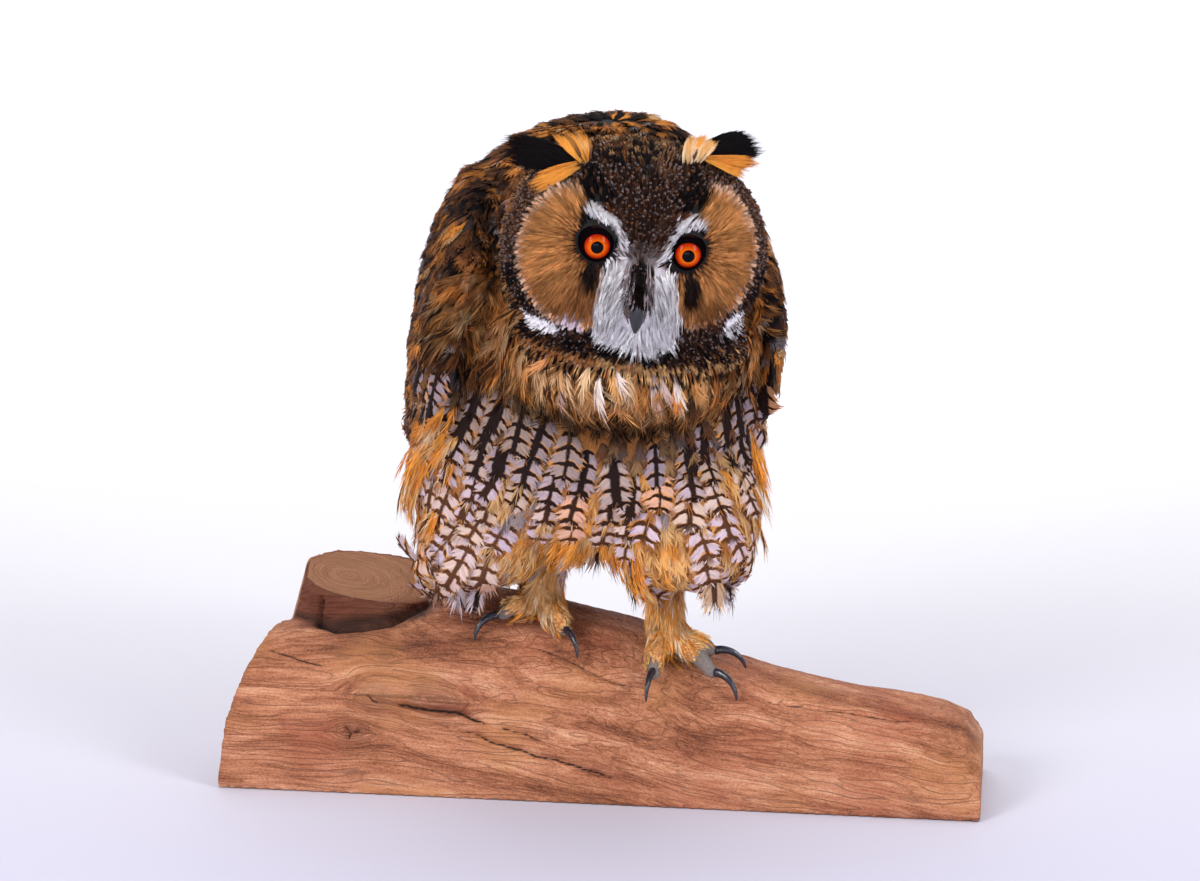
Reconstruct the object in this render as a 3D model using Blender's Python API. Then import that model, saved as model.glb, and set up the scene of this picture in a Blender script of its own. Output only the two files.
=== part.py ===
"""A mounted long-eared owl, life size, leaning forward over a cut log.

Metres, +Z up.  The origin lies on the log's flat underside, under the owl's feet.
The owl faces -Y and its own left side is +X.  Each feathered solid reaches out to the tips of its coat.
"""

import math

import bmesh
import bpy
import numpy as np
from mathutils import Matrix, Vector

MM = 0.001
GAP = 0.6 * MM  # free space left round every piece that is let into another
SIDES = {"right": -1, "left": 1}  # the owl's own sides, as the sign of X

# The log lies a little turned, so that its right end comes forward.
LOG_TURN = math.radians(-8.9)
LOG_FRONT = -47.4 * MM  # the front edge of the underside, across the log
LOG_SECTIONS = (  # along the log, height of the crest, half the depth
    (-167 * MM, 64 * MM, 50 * MM),
    (-130 * MM, 69 * MM, 56 * MM),
    (-100 * MM, 69 * MM, 58 * MM),
    (-56 * MM, 82 * MM, 59 * MM),
    (-30 * MM, 79 * MM, 58 * MM),
    (10 * MM, 71.5 * MM, 56 * MM),
    (60 * MM, 56.5 * MM, 52 * MM),
    (110 * MM, 46 * MM, 48 * MM),
    (150 * MM, 41 * MM, 45 * MM),
    (165 * MM, 36 * MM, 44 * MM),
    (173.5 * MM, 25 * MM, 43 * MM),
)
LOG_LEAN = 3.4  # the sawn left end leans in over the log by this much times its height squared
LOG_FLANK = 2.5  # how square the flanks are, where 2 is round
LOG_CROWN = 1.7
STUMP_FOOT = Vector((-107, 33, 38)) * MM
STUMP_TOP = Vector((-106, 41, 84)) * MM
STUMP_RADII = (33 * MM, 22 * MM)
STUMP_CUT = Vector((0.13, -0.34, 0.93)).normalized()  # the way its sawn face looks

# The trunk stands in a frame of its own, turned so that the owl's tail goes back and to its right.
BODY = Matrix.Translation((-3 * MM, 5 * MM, 0)) @ Matrix.Rotation(math.radians(13), 4, "Z")
TRUNK_SECTIONS = (  # height, middle across and back, half width, depth in front and behind, squareness behind
    (103, 0, 2, 0, 0, 0, 2.2),
    (108, 0, 3, 58, 42, 44, 2.2),
    (122, -3, 6, 80, 62, 76, 1.9),
    (136, -3, 9, 83, 71, 112, 1.4),
    (150, -3, 12, 83, 79, 112, 1.35),
    (165, -2, 12, 82, 81, 102, 1.5),
    (190, -1, 11, 79, 83, 88, 1.85),
    (225, 0, 10, 75, 78, 76, 2.15),
    (250, 1, 12, 68, 66, 60, 2.2),
    (275, 4, 15, 55, 50, 43, 2.2),
    (291, 9, 18, 39, 33, 30, 2.25),
    (299, 13, 19, 18, 15, 14, 2.25),
    (301, 13, 19, 0, 0, 0, 2.25),
)
TAIL = (  # back, height, half width, half thickness
    (70, 166, 17, 7),
    (100, 152, 20, 6.5),
    (140, 129, 23, 5),
    (185, 104, 27, 3.5),
    (204, 94, 26, 2.6),
    (213, 89, 17, 1.4),
)
WING_SECTIONS = (  # upper edge (out, back, height), lower edge (out, back, height), bow, thickness
    (56, -46, 231, 60, -54, 208, 1, 6),
    (59, -35, 257, 69, -53, 186, 7, 14),
    (57, -6, 275, 73, -37, 172, 7, 15),
    (53, 38, 277, 75, 14, 156, 7, 14),
    (30, 86, 239, 70, 68, 142, 9, 12),
    (15, 130, 188, 44, 120, 131, 7, 9),
    (8, 173, 143, 30, 168, 120, 3, 6.5),
    (6, 205, 117, 21, 202, 106, 1, 5),
    (11, 221, 104, 15, 220, 102, 0, 2.5),
)
WING_LIE = Vector((0, 0.85, -0.53))  # the way the folded feathers run
THIGHS = {  # the feathered thighs hang over the tarsi like bells
    "right": {"top": (-43, 2, 166), "hem": (-50, -13, 91), "half_width": 36, "half_depth": 39},
    "left": {"top": (36, -10, 168), "hem": (37, -29, 93), "half_width": 36, "half_depth": 38},
}
BELL = ((0, 0), (0.035, 0.62), (0.13, 0.89), (0.38, 1), (0.72, 0.92), (0.93, 0.5), (1, 0))
LEGS = {"right": (-25, -6), "left": (29, -18)}  # where each leg stands, in millimetres
TARSUS = ((0, 9.5), (0.18, 9.8), (0.4, 9.2), (0.75, 10.5), (1, 11.5))  # share of height, radius
TARSUS_TOP = 48 * MM
BALL_RADIUS = 9.6 * MM
TOES = {  # the way each toe points on the log, clockwise from straight ahead, and its length to the pad
    "right": {"hind": (-166, 18), "inner": (-32, 19), "middle": (70, 24), "outer": (148, 21)},
    "left": {"hind": (-176, 18), "inner": (17, 21), "middle": (-55, 29), "outer": (-88, 25)},
}
TOE_START = 5  # how far out from the middle of the foot a toe begins, in millimetres
TOE_RADII = ((0, 5.6), (0.45, 5.0), (0.8, 4.3), (0.93, 3.8), (1, 0))
CLAW = {"length": 18.5 * MM, "bend": math.radians(96), "root": 2.0 * MM, "tip": 0.35 * MM}

# The head has a frame of its own too: rolled to the owl's left and bowed.
HEAD = (
    Matrix.Translation((14 * MM, -59 * MM, 246 * MM))
    @ Matrix.Rotation(math.radians(3.5), 4, "Z")
    @ Matrix.Rotation(math.radians(5.8), 4, "Y")
    @ Matrix.Rotation(math.radians(12), 4, "X")
)
HEAD_SIZE = {"half_width": 58, "up": 49.5, "down": 43, "front": 49, "back": 47}
EYE = Vector((18.6, -40, 13.5)) * MM
EYE_RADIUS = 7.6 * MM
DISC_MIDDLE = Vector((25, 1))  # of each facial disc, across and up the face, in millimetres
BILL = (  # back, height, half width, half height, down the ridge of the upper bill
    (-40, 8, 4.0, 4.2),
    (-47, 5, 4.6, 5.0),
    (-53, -1, 4.5, 5.0),
    (-56.2, -8, 3.8, 4.2),
    (-57, -14, 2.5, 2.8),
    (-55.8, -18.5, 0.35, 0.5),
)
LOWER_BILL = ((-42, -8, 3.4, 2.4), (-49, -11, 3.2, 2.4), (-53.5, -14.5, 2.2, 1.7), (-55, -17.2, 0.4, 0.4))
NECK = {"middle": Vector((12, -44, 205)) * MM, "half": Vector((56, 50, 38)) * MM}
EAR_TUFTS = {  # where each tuft leaves the crown, bends and ends
    "right": {"root": (-4, -68, 284), "bend": (-24, -68, 294), "tip": (-42, -57, 291)},
    "left": {"root": (38, -68, 281), "bend": (56, -68, 294), "tip": (72, -56, 289)},
}
TUFT_RADII = ((0, 7.5, 6.5), (0.35, 8.5, 5), (0.75, 7.5, 3.2), (0.95, 5, 1.8), (1, 1.2, 0.8))

FINISHES = {  # colour, roughness
    "feathers_dark": ((0.16, 0.10, 0.06), 0.8),
    "feathers_light": ((0.55, 0.34, 0.16), 0.8),
    "feathers_buff": ((0.60, 0.33, 0.11), 0.85),
    "horn": ((0.03, 0.03, 0.035), 0.3),
    "glass_eye": ((0.75, 0.20, 0.02), 0.08),
    "wood": ((0.36, 0.19, 0.11), 0.75),
}


def clear_scene():
    for old in list(bpy.data.objects):
        bpy.data.objects.remove(old)


def finish(name):
    """The named finish as a material, made once."""
    if name in bpy.data.materials:
        return bpy.data.materials[name]
    colour, roughness = FINISHES[name]
    material = bpy.data.materials.new(name)
    material.use_nodes = True
    shader = material.node_tree.nodes["Principled BSDF"]
    shader.inputs["Base Color"].default_value = (*colour, 1)
    shader.inputs["Roughness"].default_value = roughness
    return material


def through(stations):
    """A smooth curve through rows of (place, value, value ...), with no overshoot between them."""
    table = np.array(stations, float)
    place, value = table[:, 0], table[:, 1:]
    step = np.diff(place)[:, None]
    slope = np.diff(value, axis=0) / step
    before, after = slope[:-1], slope[1:]
    total = np.where(before * after > 0, before + after, 1)
    tangent = np.vstack([slope[:1], np.where(before * after > 0, 2 * before * after / total, 0), slope[-1:]])

    def at(where):
        i = int(np.clip(np.searchsorted(place, where) - 1, 0, len(place) - 2))
        t = float(np.clip((where - place[i]) / step[i, 0], 0, 1))
        rise = t * t * (3 - 2 * t)
        bow = step[i] * (t * (1 - t) ** 2 * tangent[i] - t * t * (1 - t) * tangent[i + 1])
        return value[i] * (1 - rise) + value[i + 1] * rise + bow

    return at


def evenly_through(rows):
    """The same through rows that stand evenly from 0 to 1."""
    return through([(i / (len(rows) - 1), *row) for i, row in enumerate(rows)])


def rounded(stations):
    """The same through the squares of the values, so that a value which reaches 0 closes a round end."""
    squares = through([(row[0], *(v * v for v in row[1:])) for row in stations])
    return lambda where: np.sqrt(np.maximum(squares(where), 0))


def signed_power(value, exponent):
    return math.copysign(abs(value) ** exponent, value)


def ellipse(across, up, count, squareness=2.0):
    """Points round an ellipse, or round a squarer oval, as (share across, share up) times its half sizes."""
    exponent = 2 / squareness
    turns = [2 * math.pi * i / count for i in range(count)]
    return [
        (across * signed_power(math.cos(turn), exponent), up * signed_power(math.sin(turn), exponent))
        for turn in turns
    ]


def solid(name, rings, material, helper=False):
    """A closed body with a skin through rings of points, and a point or rungs of faces over each end."""
    mesh = bpy.data.meshes.new(name)
    form = bmesh.new()
    loops = [[form.verts.new(point) for point in ring] for ring in rings]
    for low, high in zip(loops, loops[1:]):
        count = max(len(low), len(high))
        for i in range(count):
            first, second = low[i % len(low)], low[(i + 1) % len(low)]
            third, fourth = high[(i + 1) % len(high)], high[i % len(high)]
            form.faces.new(list(dict.fromkeys((first, second, third, fourth))))
    for end in (loops[0], loops[-1]):
        for k in range((len(end) - 1) // 2):
            form.faces.new(list(dict.fromkeys((end[k], end[k + 1], end[-2 - k], end[-1 - k]))))
    bmesh.ops.recalc_face_normals(form, faces=form.faces)
    form.to_mesh(mesh)
    form.free()
    mesh.shade_smooth()
    mesh.set_sharp_from_angle(angle=math.radians(50))
    mesh.materials.append(finish(material))
    made = bpy.data.objects.new(name, mesh)
    bpy.context.scene.collection.objects.link(made)
    if helper:
        hide(made)
    return made


def hide(helper):
    helper.hide_render = True
    helper.display_type = "WIRE"


def tube(name, path, sizes, material, count=12, up=Vector((0, 0, 1))):
    """A body along a path of points, with an oval section of (half width, half height) at each."""
    rings = []
    last = len(path) - 1
    for i, (point, (wide, high)) in enumerate(zip(path, sizes)):
        ahead = (path[min(i + 1, last)] - path[max(i - 1, 0)]).normalized()
        side = ahead.cross(up).normalized()
        rise = side.cross(ahead)
        if i == last and wide < 0.01 * MM:
            rings.append([point])
        else:
            rings.append([point + side * x + rise * z for x, z in ellipse(wide, high, count)])
    return solid(name, rings, material)


def ellipsoid(name, middle, half, material, rings=10, count=24, squareness=2.0, frame=Matrix()):
    loops = []
    for i in range(rings + 1):
        angle = math.pi * i / rings
        level, share = -math.cos(angle), math.sin(angle)
        if i in (0, rings):
            loops.append([frame @ (middle + Vector((0, 0, level * half.z)))])
            continue
        oval = ellipse(half.x * share, half.y * share, count, squareness)
        loops.append([frame @ (middle + Vector((x, y, level * half.z))) for x, y in oval])
    return solid(name, loops, material)


def cutter_of(neighbour):
    """A hidden copy of the neighbour as first modelled, grown by the gap."""
    name = neighbour.name + "_room"
    if name in bpy.data.objects:
        return bpy.data.objects[name]
    room = bpy.data.objects.new(name, neighbour.data)
    bpy.context.scene.collection.objects.link(room)
    grown = room.modifiers.new("Gap", "DISPLACE")
    grown.mid_level = 0
    grown.strength = GAP
    hide(room)
    return room


def let_in(host, *neighbours):
    """Cuts room for each neighbour out of the host."""
    for neighbour in neighbours:
        cut = host.modifiers.new("Room for " + neighbour.name, "BOOLEAN")
        cut.operation = "DIFFERENCE"
        cut.solver = "EXACT"
        cut.object = cutter_of(neighbour)


# The log

log_section = through(LOG_SECTIONS)
LOG_FRAME = Matrix.Rotation(LOG_TURN, 4, "Z")


def log_top(x, y):
    """Height of the log's surface over a point of the floor, without the stump."""
    along, across, _ = LOG_FRAME.inverted() @ Vector((x, y, 0))
    height, half = log_section(along)
    share = min(abs((across - LOG_FRONT - half) / half), 1)
    return height * (1 - share**LOG_FLANK) ** (1 / LOG_CROWN)


def make_log():
    """A half round of wood, with its left end sawn so that it leans in over the log."""
    rings = []
    stations = 22
    start, end = LOG_SECTIONS[0][0], LOG_SECTIONS[-1][0]
    for i in range(stations + 1):
        along = start + (end - start) * (1 - (1 - i / stations) ** 1.25)
        height, half = log_section(along)
        ring = []
        arch = 18
        for k in range(arch + 1):
            turn = math.pi * k / arch
            across = LOG_FRONT + half - half * signed_power(math.cos(turn), 0.8)
            share = min(abs((across - LOG_FRONT - half) / half), 1)
            top = height * (1 - share**LOG_FLANK) ** (1 / LOG_CROWN)
            lean = LOG_LEAN * top * top * max(1 - (along - start) / (60 * MM), 0)
            ring.append(LOG_FRAME @ Vector((along + lean, across, top)))
        rings.append(ring)
    log = solid("log_base", rings, "wood")
    grown = log.modifiers.new("Stump", "BOOLEAN")
    grown.operation = "UNION"
    grown.solver = "EXACT"
    grown.object = make_stump()
    return log


def make_stump():
    """The foot of a sawn branch behind the log's crest, as a helper that the log takes in."""
    across = STUMP_CUT.cross(Vector((0, 1, 0))).normalized() * -1
    back = STUMP_CUT.cross(across).normalized()
    levels = []
    for share in (0, 0.55, 1):
        middle = STUMP_FOOT.lerp(STUMP_TOP, share)
        grow = 1.34 - 0.34 * share
        levels.append(
            [
                middle + across * x * (1 + 0.07 * math.cos(3 * k)) + back * y
                for k, (x, y) in enumerate(ellipse(STUMP_RADII[0] * grow, STUMP_RADII[1] * grow, 18, 2.4))
            ]
        )
    return solid("stump_form", levels, "wood", helper=True)


# The body

trunk_shape = through([(*row[:3], row[6]) for row in TRUNK_SECTIONS])


def in_body(x, y, z):
    """A place in the trunk's frame, given in millimetres."""
    return BODY @ (Vector((x, y, z)) * MM)


def make_trunk():
    """The breast, back and rump in one skin; behind, each level narrows towards the tail."""
    halves = rounded([(row[0], *row[3:6]) for row in TRUNK_SECTIONS])
    low, high = TRUNK_SECTIONS[0][0], TRUNK_SECTIONS[-1][0]
    levels, count = 17, 28
    rings = []
    for i in range(levels + 1):
        height = low + (high - low) * (1 - math.cos(math.pi * i / levels)) / 2
        across, back, squareness = trunk_shape(height)
        if i in (0, levels):
            rings.append([in_body(across, back, height)])
            continue
        half_width, front, behind = halves(height)
        ring = []
        for x, y in ellipse(half_width, 1, count, 2.25):
            if y > 0:
                y = behind * max(1 - abs(x / half_width) ** squareness, 0) ** (1 / squareness)
            else:
                y *= front
            ring.append(in_body(across + x, back + y, height))
        rings.append(ring)
    return solid("trunk", rings, "feathers_dark")


def make_tail():
    profile = evenly_through(TAIL)
    rings = []
    stations = 9
    for i in range(stations + 1):
        back, height, half_width, thick = profile(i / stations)
        ring = []
        for x, z in ellipse(half_width, thick, 12, 2.6):
            arch = -5 * (x / 28) ** 2
            ring.append(in_body(x, back + z * 0.5, height + z * 0.86 + arch))
        rings.append(ring)
    return solid("tail", rings, "feathers_dark")


def make_wing(side):
    """A folded wing, bowed round the flank from the wrist back to the tip beyond the tail."""
    sign = SIDES[side]
    section = evenly_through(WING_SECTIONS)
    rings = []
    stations, across = 14, 5
    for i in range(stations + 1):
        numbers = section(i / stations)
        upper, lower = Vector(numbers[:3]), Vector(numbers[3:6])
        bow, thick = numbers[6:]
        outward = (upper - lower).cross(WING_LIE).normalized()
        outward *= math.copysign(1, outward.x)
        outer, inner = [], []
        for k in range(across + 1):
            share = k / across
            middle = lower.lerp(upper, share) + outward * bow * 4 * share * (1 - share)
            half = outward * thick / 2 * math.sin(math.pi * (0.06 + 0.88 * share)) ** 0.5
            for edge, place in ((outer, middle + half), (inner, middle - half)):
                edge.append(in_body(sign * place.x + trunk_shape(place.z)[0], place.y, place.z))
        rings.append(outer + inner[::-1])
    return solid("wing_" + side, rings, "feathers_dark")


def make_thigh(side):
    size = THIGHS[side]
    top, hem = Vector(size["top"]), Vector(size["hem"])
    bell = rounded(BELL)
    levels = 9
    rings = []
    for i in range(levels + 1):
        share = (1 - math.cos(math.pi * i / levels)) / 2
        middle = hem.lerp(top, share)
        if i in (0, levels):
            rings.append([middle * MM])
            continue
        wide = bell(share)[0]
        oval = ellipse(size["half_width"] * wide, size["half_depth"] * wide, 18, 2.2)
        rings.append([(middle + Vector((x, y, 0))) * MM for x, y in oval])
    return solid("thigh_" + side, rings, "feathers_light")


def make_tarsus(side):
    x, y = (value * MM for value in LEGS[side])
    foot = log_top(x, y) + BALL_RADIUS * log_steepness(Vector((x, y, 0)), heading(0)) + GAP
    radius = through(TARSUS)
    path, sizes = [], []
    for share in (0.97, 0.85, 0.55, 0.2):
        path.append(Vector((x, y, foot - BALL_RADIUS * share)))
        sizes.append((BALL_RADIUS * math.sqrt(1 - share * share),) * 2)
    steps = 6
    for i in range(steps + 1):
        share = i / steps
        path.append(Vector((x, y + 9 * MM * share**1.5, foot + TARSUS_TOP * share)))
        sizes.append((radius(share)[0] * MM,) * 2)
    return tube("tarsus_" + side, path, sizes, "feathers_buff", 12, up=Vector((0, 1, 0)))


def heading(degrees):
    """The way a toe points on the floor plan, from straight ahead and clockwise seen from above."""
    turn = math.radians(degrees)
    return Vector((-math.sin(turn), -math.cos(turn), 0))


def make_toe(side, toe):
    """A toe that lies along the log, arched a little at its knuckle."""
    degrees, length = TOES[side][toe]
    x, y = (value * MM for value in LEGS[side])
    ahead = heading(degrees)
    radius = through(TOE_RADII)
    steps = 6
    path, sizes = [], []
    for i in range(steps + 1):
        share = 1 - (1 - i / steps) ** 1.5
        place = Vector((x, y, 0)) + ahead * (TOE_START + (length - TOE_START) * share) * MM
        thick = radius(share)[0] * MM
        least = 3.9 * MM
        rise = max(thick, least) * log_steepness(place, ahead) + GAP + 2.4 * MM * math.sin(math.pi * share) ** 2
        path.append(Vector((place.x, place.y, log_top(place.x, place.y) + rise)))
        sizes.append((thick * 1.06, thick))
    return tube(f"toe_{side}_{toe}", path, sizes, "feathers_buff", 8)


def log_steepness(place, ahead):
    """How much further apart two things are measured straight up than square to the log here."""
    step = 4 * MM
    side = Vector((-ahead.y, ahead.x, 0)) * step
    ahead = ahead * step
    climb = (log_top(*(place + ahead).xy) - log_top(*(place - ahead).xy)) / (2 * step)
    lean = (log_top(*(place + side).xy) - log_top(*(place - side).xy)) / (2 * step)
    return math.sqrt(1 + climb * climb + lean * lean)


def make_claw(side, toe):
    """A claw that leaves the end of its toe and curves down to the wood, but not into it."""
    degrees, length = TOES[side][toe]
    x, y = (value * MM for value in LEGS[side])
    ahead = heading(degrees)
    root = Vector((x, y, 0)) + ahead * (length - 2.8) * MM
    root.z = log_top(root.x, root.y) + 5.6 * MM * log_steepness(root, ahead)
    steps = 7
    lift = math.radians(5)
    while lift < math.radians(75):
        path = [root]
        for i in range(steps):
            angle = lift - CLAW["bend"] * (i + 0.5) / steps
            onward = ahead * math.cos(angle) + Vector((0, 0, math.sin(angle)))
            path.append(path[-1] + onward * CLAW["length"] / steps)
        clearances = [p.z - log_top(p.x, p.y) for p in path[2:]]
        if min(clearances) > 0.9 * MM:
            break
        lift += math.radians(2)
    sizes = []
    for i in range(steps + 1):
        share = i / steps
        thick = CLAW["root"] * (1 - share) ** 0.75 + CLAW["tip"]
        sizes.append((thick * 0.82, thick))
    return tube(f"claw_{side}_{toe}", path, sizes, "horn", 6)


# The head


def face_relief(x, z):
    """How far the face is pressed in at a place across and up it, in millimetres."""
    x = abs(x)
    disc = (Vector((x, z)) - DISC_MIDDLE) / 24
    dish = 5.2 * math.exp(-disc.length_squared * 1.6)
    ridge = -2.6 * math.exp(-((x / 7) ** 2)) * math.exp(-(((z + 2) / 24) ** 2))
    return dish + ridge


def make_head():
    size = HEAD_SIZE
    rings = []
    count, front, back = 30, 8, 5
    for i in range(front + back + 1):
        if i <= front:
            share = math.sin(math.pi / 2 * i / front)
            depth = -size["front"] * (1 - share**2.7) ** 0.56
        else:
            angle = math.pi / 2 * (1 + (i - front) / back)
            share = max(math.sin(angle), 0)
            depth = -size["back"] * math.cos(angle)
        if i in (0, front + back):
            place = Vector((0, depth + (face_relief(0, 0) if i == 0 else 0), 0))
            rings.append([HEAD @ (place * MM)])
            continue
        ring = []
        for x, z in ellipse(size["half_width"] * share, 1, count, 2.15):
            z *= share * (size["up"] if z > 0 else size["down"])
            relief = face_relief(x, z) * (1 - share**6) if i <= front else 0
            ring.append(HEAD @ (Vector((x, depth + relief, z)) * MM))
        rings.append(ring)
    return solid("head", rings, "feathers_light")


def make_neck():
    return ellipsoid("neck", NECK["middle"], NECK["half"], "feathers_light", 9, 20, 2.2)


def make_eye(side):
    middle = Vector((EYE.x * SIDES[side], EYE.y, EYE.z))
    return ellipsoid("eye_" + side, middle, Vector((EYE_RADIUS,) * 3), "glass_eye", 7, 12, frame=HEAD)


def make_bill(name, stations):
    path = [HEAD @ (Vector((0, back, high)) * MM) for back, high, _, _ in stations]
    sizes = [(wide * MM, high * MM) for _, _, wide, high in stations]
    return tube(name, path, sizes, "horn", 12, up=HEAD.to_3x3() @ Vector((0, -1, 0)))


def make_ear_tuft(side):
    """A blade that stands on edge; each row of its radii is a place, half the height and half the thickness."""
    size = EAR_TUFTS[side]
    root, bend, tip = (Vector(size[key]) for key in ("root", "bend", "tip"))
    radii = through(TUFT_RADII)
    path, sizes = [], []
    steps = 7
    for i in range(steps + 1):
        share = i / steps
        place = root.lerp(bend, share).lerp(bend.lerp(tip, share), share)
        path.append(place * MM)
        sizes.append(tuple(value * MM for value in reversed(radii(share))))
    return tube("ear_tuft_" + side, path, sizes, "feathers_dark", 10)


def main():
    clear_scene()
    make_log()
    head, neck, trunk, tail = make_head(), make_neck(), make_trunk(), make_tail()
    eyes = [make_eye(side) for side in SIDES]
    bill = make_bill("bill_upper", BILL)
    lower_bill = make_bill("bill_lower", LOWER_BILL)
    tufts = [make_ear_tuft(side) for side in SIDES]
    wings = [make_wing(side) for side in SIDES]
    thighs = [make_thigh(side) for side in SIDES]
    let_in(head, bill, lower_bill, *eyes, *tufts)
    let_in(lower_bill, bill)
    let_in(neck, head)
    let_in(trunk, head, neck, tail, *wings, *thighs)
    let_in(tail, *wings)
    for wing in wings:
        let_in(wing, head, neck)
    for side, thigh in zip(SIDES, thighs):
        tarsus = make_tarsus(side)
        let_in(thigh, tarsus)
        let_in(trunk, tarsus)
        toes = []
        for name in TOES[side]:
            toe, claw = make_toe(side, name), make_claw(side, name)
            let_in(toe, tarsus, claw, *toes)
            toes.append(toe)
    let_in(thighs[0], thighs[1])


main()
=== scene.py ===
import math

import bmesh
import bpy
import numpy as np
from mathutils import Matrix, Vector
from mathutils.bvhtree import BVHTree
from mathutils.kdtree import KDTree


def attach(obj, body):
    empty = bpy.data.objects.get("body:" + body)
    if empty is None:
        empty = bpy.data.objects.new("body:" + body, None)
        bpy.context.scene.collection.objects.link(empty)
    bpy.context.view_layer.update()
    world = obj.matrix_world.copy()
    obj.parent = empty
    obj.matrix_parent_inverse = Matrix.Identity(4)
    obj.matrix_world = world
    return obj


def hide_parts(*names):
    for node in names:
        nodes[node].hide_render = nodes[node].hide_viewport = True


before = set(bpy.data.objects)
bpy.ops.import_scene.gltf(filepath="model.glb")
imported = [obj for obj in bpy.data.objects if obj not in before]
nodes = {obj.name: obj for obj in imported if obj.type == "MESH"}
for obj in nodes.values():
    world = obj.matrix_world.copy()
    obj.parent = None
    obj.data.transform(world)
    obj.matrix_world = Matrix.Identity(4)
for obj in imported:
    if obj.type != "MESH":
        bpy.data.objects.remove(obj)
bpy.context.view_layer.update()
mm = 0.001

# the same three frames as in the part: the bowed head, the turned trunk and the log
headFrame = (
    Matrix.Translation((14 * mm, -59 * mm, 246 * mm))
    @ Matrix.Rotation(math.radians(3.5), 4, "Z")
    @ Matrix.Rotation(math.radians(5.8), 4, "Y")
    @ Matrix.Rotation(math.radians(12), 4, "X")
)
bodyFrame = Matrix.Translation((-3 * mm, 5 * mm, 0)) @ Matrix.Rotation(math.radians(13), 4, "Z")
logFrame = Matrix.Rotation(math.radians(-8.9), 4, "Z")


# small helpers
def inFrame(points, place):
    # world metres to millimetres in a frame of its own
    turn = np.array(place.inverted())
    return (points @ turn[:3, :3].T + turn[:3, 3]) * 1000


def outOf(vectors, place):
    # directions in a frame to directions in the world
    return vectors @ np.array(place)[:3, :3].T


def unit(vectors):
    return vectors / np.maximum(np.linalg.norm(vectors, axis=-1, keepdims=True), 1e-9)


def smooth(values, low, high):
    t = np.clip((values - low) / (high - low), 0, 1)
    return t * t * (3 - 2 * t)


def linear(*rgb):
    # a colour as picked on a screen, to scene colour
    c = np.array(rgb, float) / 255
    return np.where(c <= 0.04045, c / 12.92, ((c + 0.055) / 1.055) ** 2.4)


def blend(a, b, share):
    share = np.asarray(share)[..., None]
    return a * (1 - share) + b * share


hashPrimes = (374761393, 668265263, 1442695041, 974634777, 1274126177)
word, fraction = 0xFFFFFFFF, 0xFFFFFF


def cellHash(cells, seed):
    h = (cells @ hashPrimes[:3] + seed * hashPrimes[3]) & word
    h = ((h ^ (h >> 13)) * hashPrimes[4]) & word
    return ((h ^ (h >> 16)) & fraction) / fraction


def cloud(points, size, seed=0, octaves=2):
    # soft random values from 0 to 1 over space, in lumps of about that size
    total, weight, reach = np.zeros(len(points)), 1.0, 0.0
    for octave in range(octaves):
        p = points / size * 2**octave + 31.7 * octave
        low = np.floor(p).astype(np.int64)
        f = p - low
        f = f * f * (3 - 2 * f)
        value = np.zeros(len(points))
        for corner in range(8):
            step = np.array([corner & 1, corner >> 1 & 1, corner >> 2 & 1])
            share = np.prod(np.where(step, f, 1 - f), axis=1)
            value += share * cellHash(low + step, seed + octave)
        total += value * weight
        reach += weight
        weight *= 0.5
    return total / reach


def columns(*values):
    # rows of values, or single numbers, set side by side
    return np.stack(np.broadcast_arrays(*values), axis=1)


def newObject(name, mesh):
    made = bpy.data.objects.new(name, mesh)
    bpy.context.scene.collection.objects.link(made)
    return made


def fitted(made, slot, finish, *stoodFor):
    # gives a piece its finish and joins it to the frame
    made.data.materials.clear()
    made.data.materials.append(finish)
    made.data.shade_smooth()
    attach(made, "root")
    if stoodFor:
        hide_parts(*stoodFor)
    return made


def meshOf(form, name):
    mesh = bpy.data.meshes.new(name)
    form.to_mesh(mesh)
    form.free()
    return mesh


def treeOf(meshes, place=None):
    # a search tree over some meshes, in a frame of its own if one is given
    form = bmesh.new()
    for mesh in meshes:
        form.from_mesh(mesh)
    if place:
        form.transform(place.inverted())
    tree = BVHTree.FromBMesh(form)
    form.free()
    return tree


def copyOf(names, name, grow=0.0):
    # one welded mesh from copies of the frame's solids, grown a little so that they join
    form = bmesh.new()
    for node in names:
        part = bmesh.new()
        part.from_mesh(nodes[node].data)
        bmesh.ops.remove_doubles(part, verts=part.verts, dist=2e-5)
        part.normal_update()
        for vert in part.verts:
            vert.co += vert.normal * grow
        piece = meshOf(part, "piece")
        form.from_mesh(piece)
        bpy.data.meshes.remove(piece)
    return newObject(name, meshOf(form, name))


def applied(made):
    # the object's mesh with its modifiers worked in
    graph = bpy.context.evaluated_depsgraph_get()
    mesh = bpy.data.meshes.new_from_object(made.evaluated_get(graph))
    old = made.data
    made.modifiers.clear()
    made.data = mesh
    bpy.data.meshes.remove(old)
    return made


def remeshed(made, size):
    step = made.modifiers.new("Remesh", "REMESH")
    step.mode = "VOXEL"
    step.voxel_size = size
    return applied(made)


def listed(items, what, wide, kind=float):
    # one value of each item of a mesh, as rows
    found = np.empty(len(items) * wide, kind)
    items.foreach_get(what, found)
    return found.reshape(-1, wide)


def points(mesh):
    return listed(mesh.vertices, "co", 3)


def normals(mesh):
    return listed(mesh.vertex_normals, "vector", 3)


def edges(mesh):
    return listed(mesh.edges, "vertices", 2, np.int64)


def setPoints(mesh, co):
    mesh.vertices.foreach_set("co", co.ravel())
    mesh.update()


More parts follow.
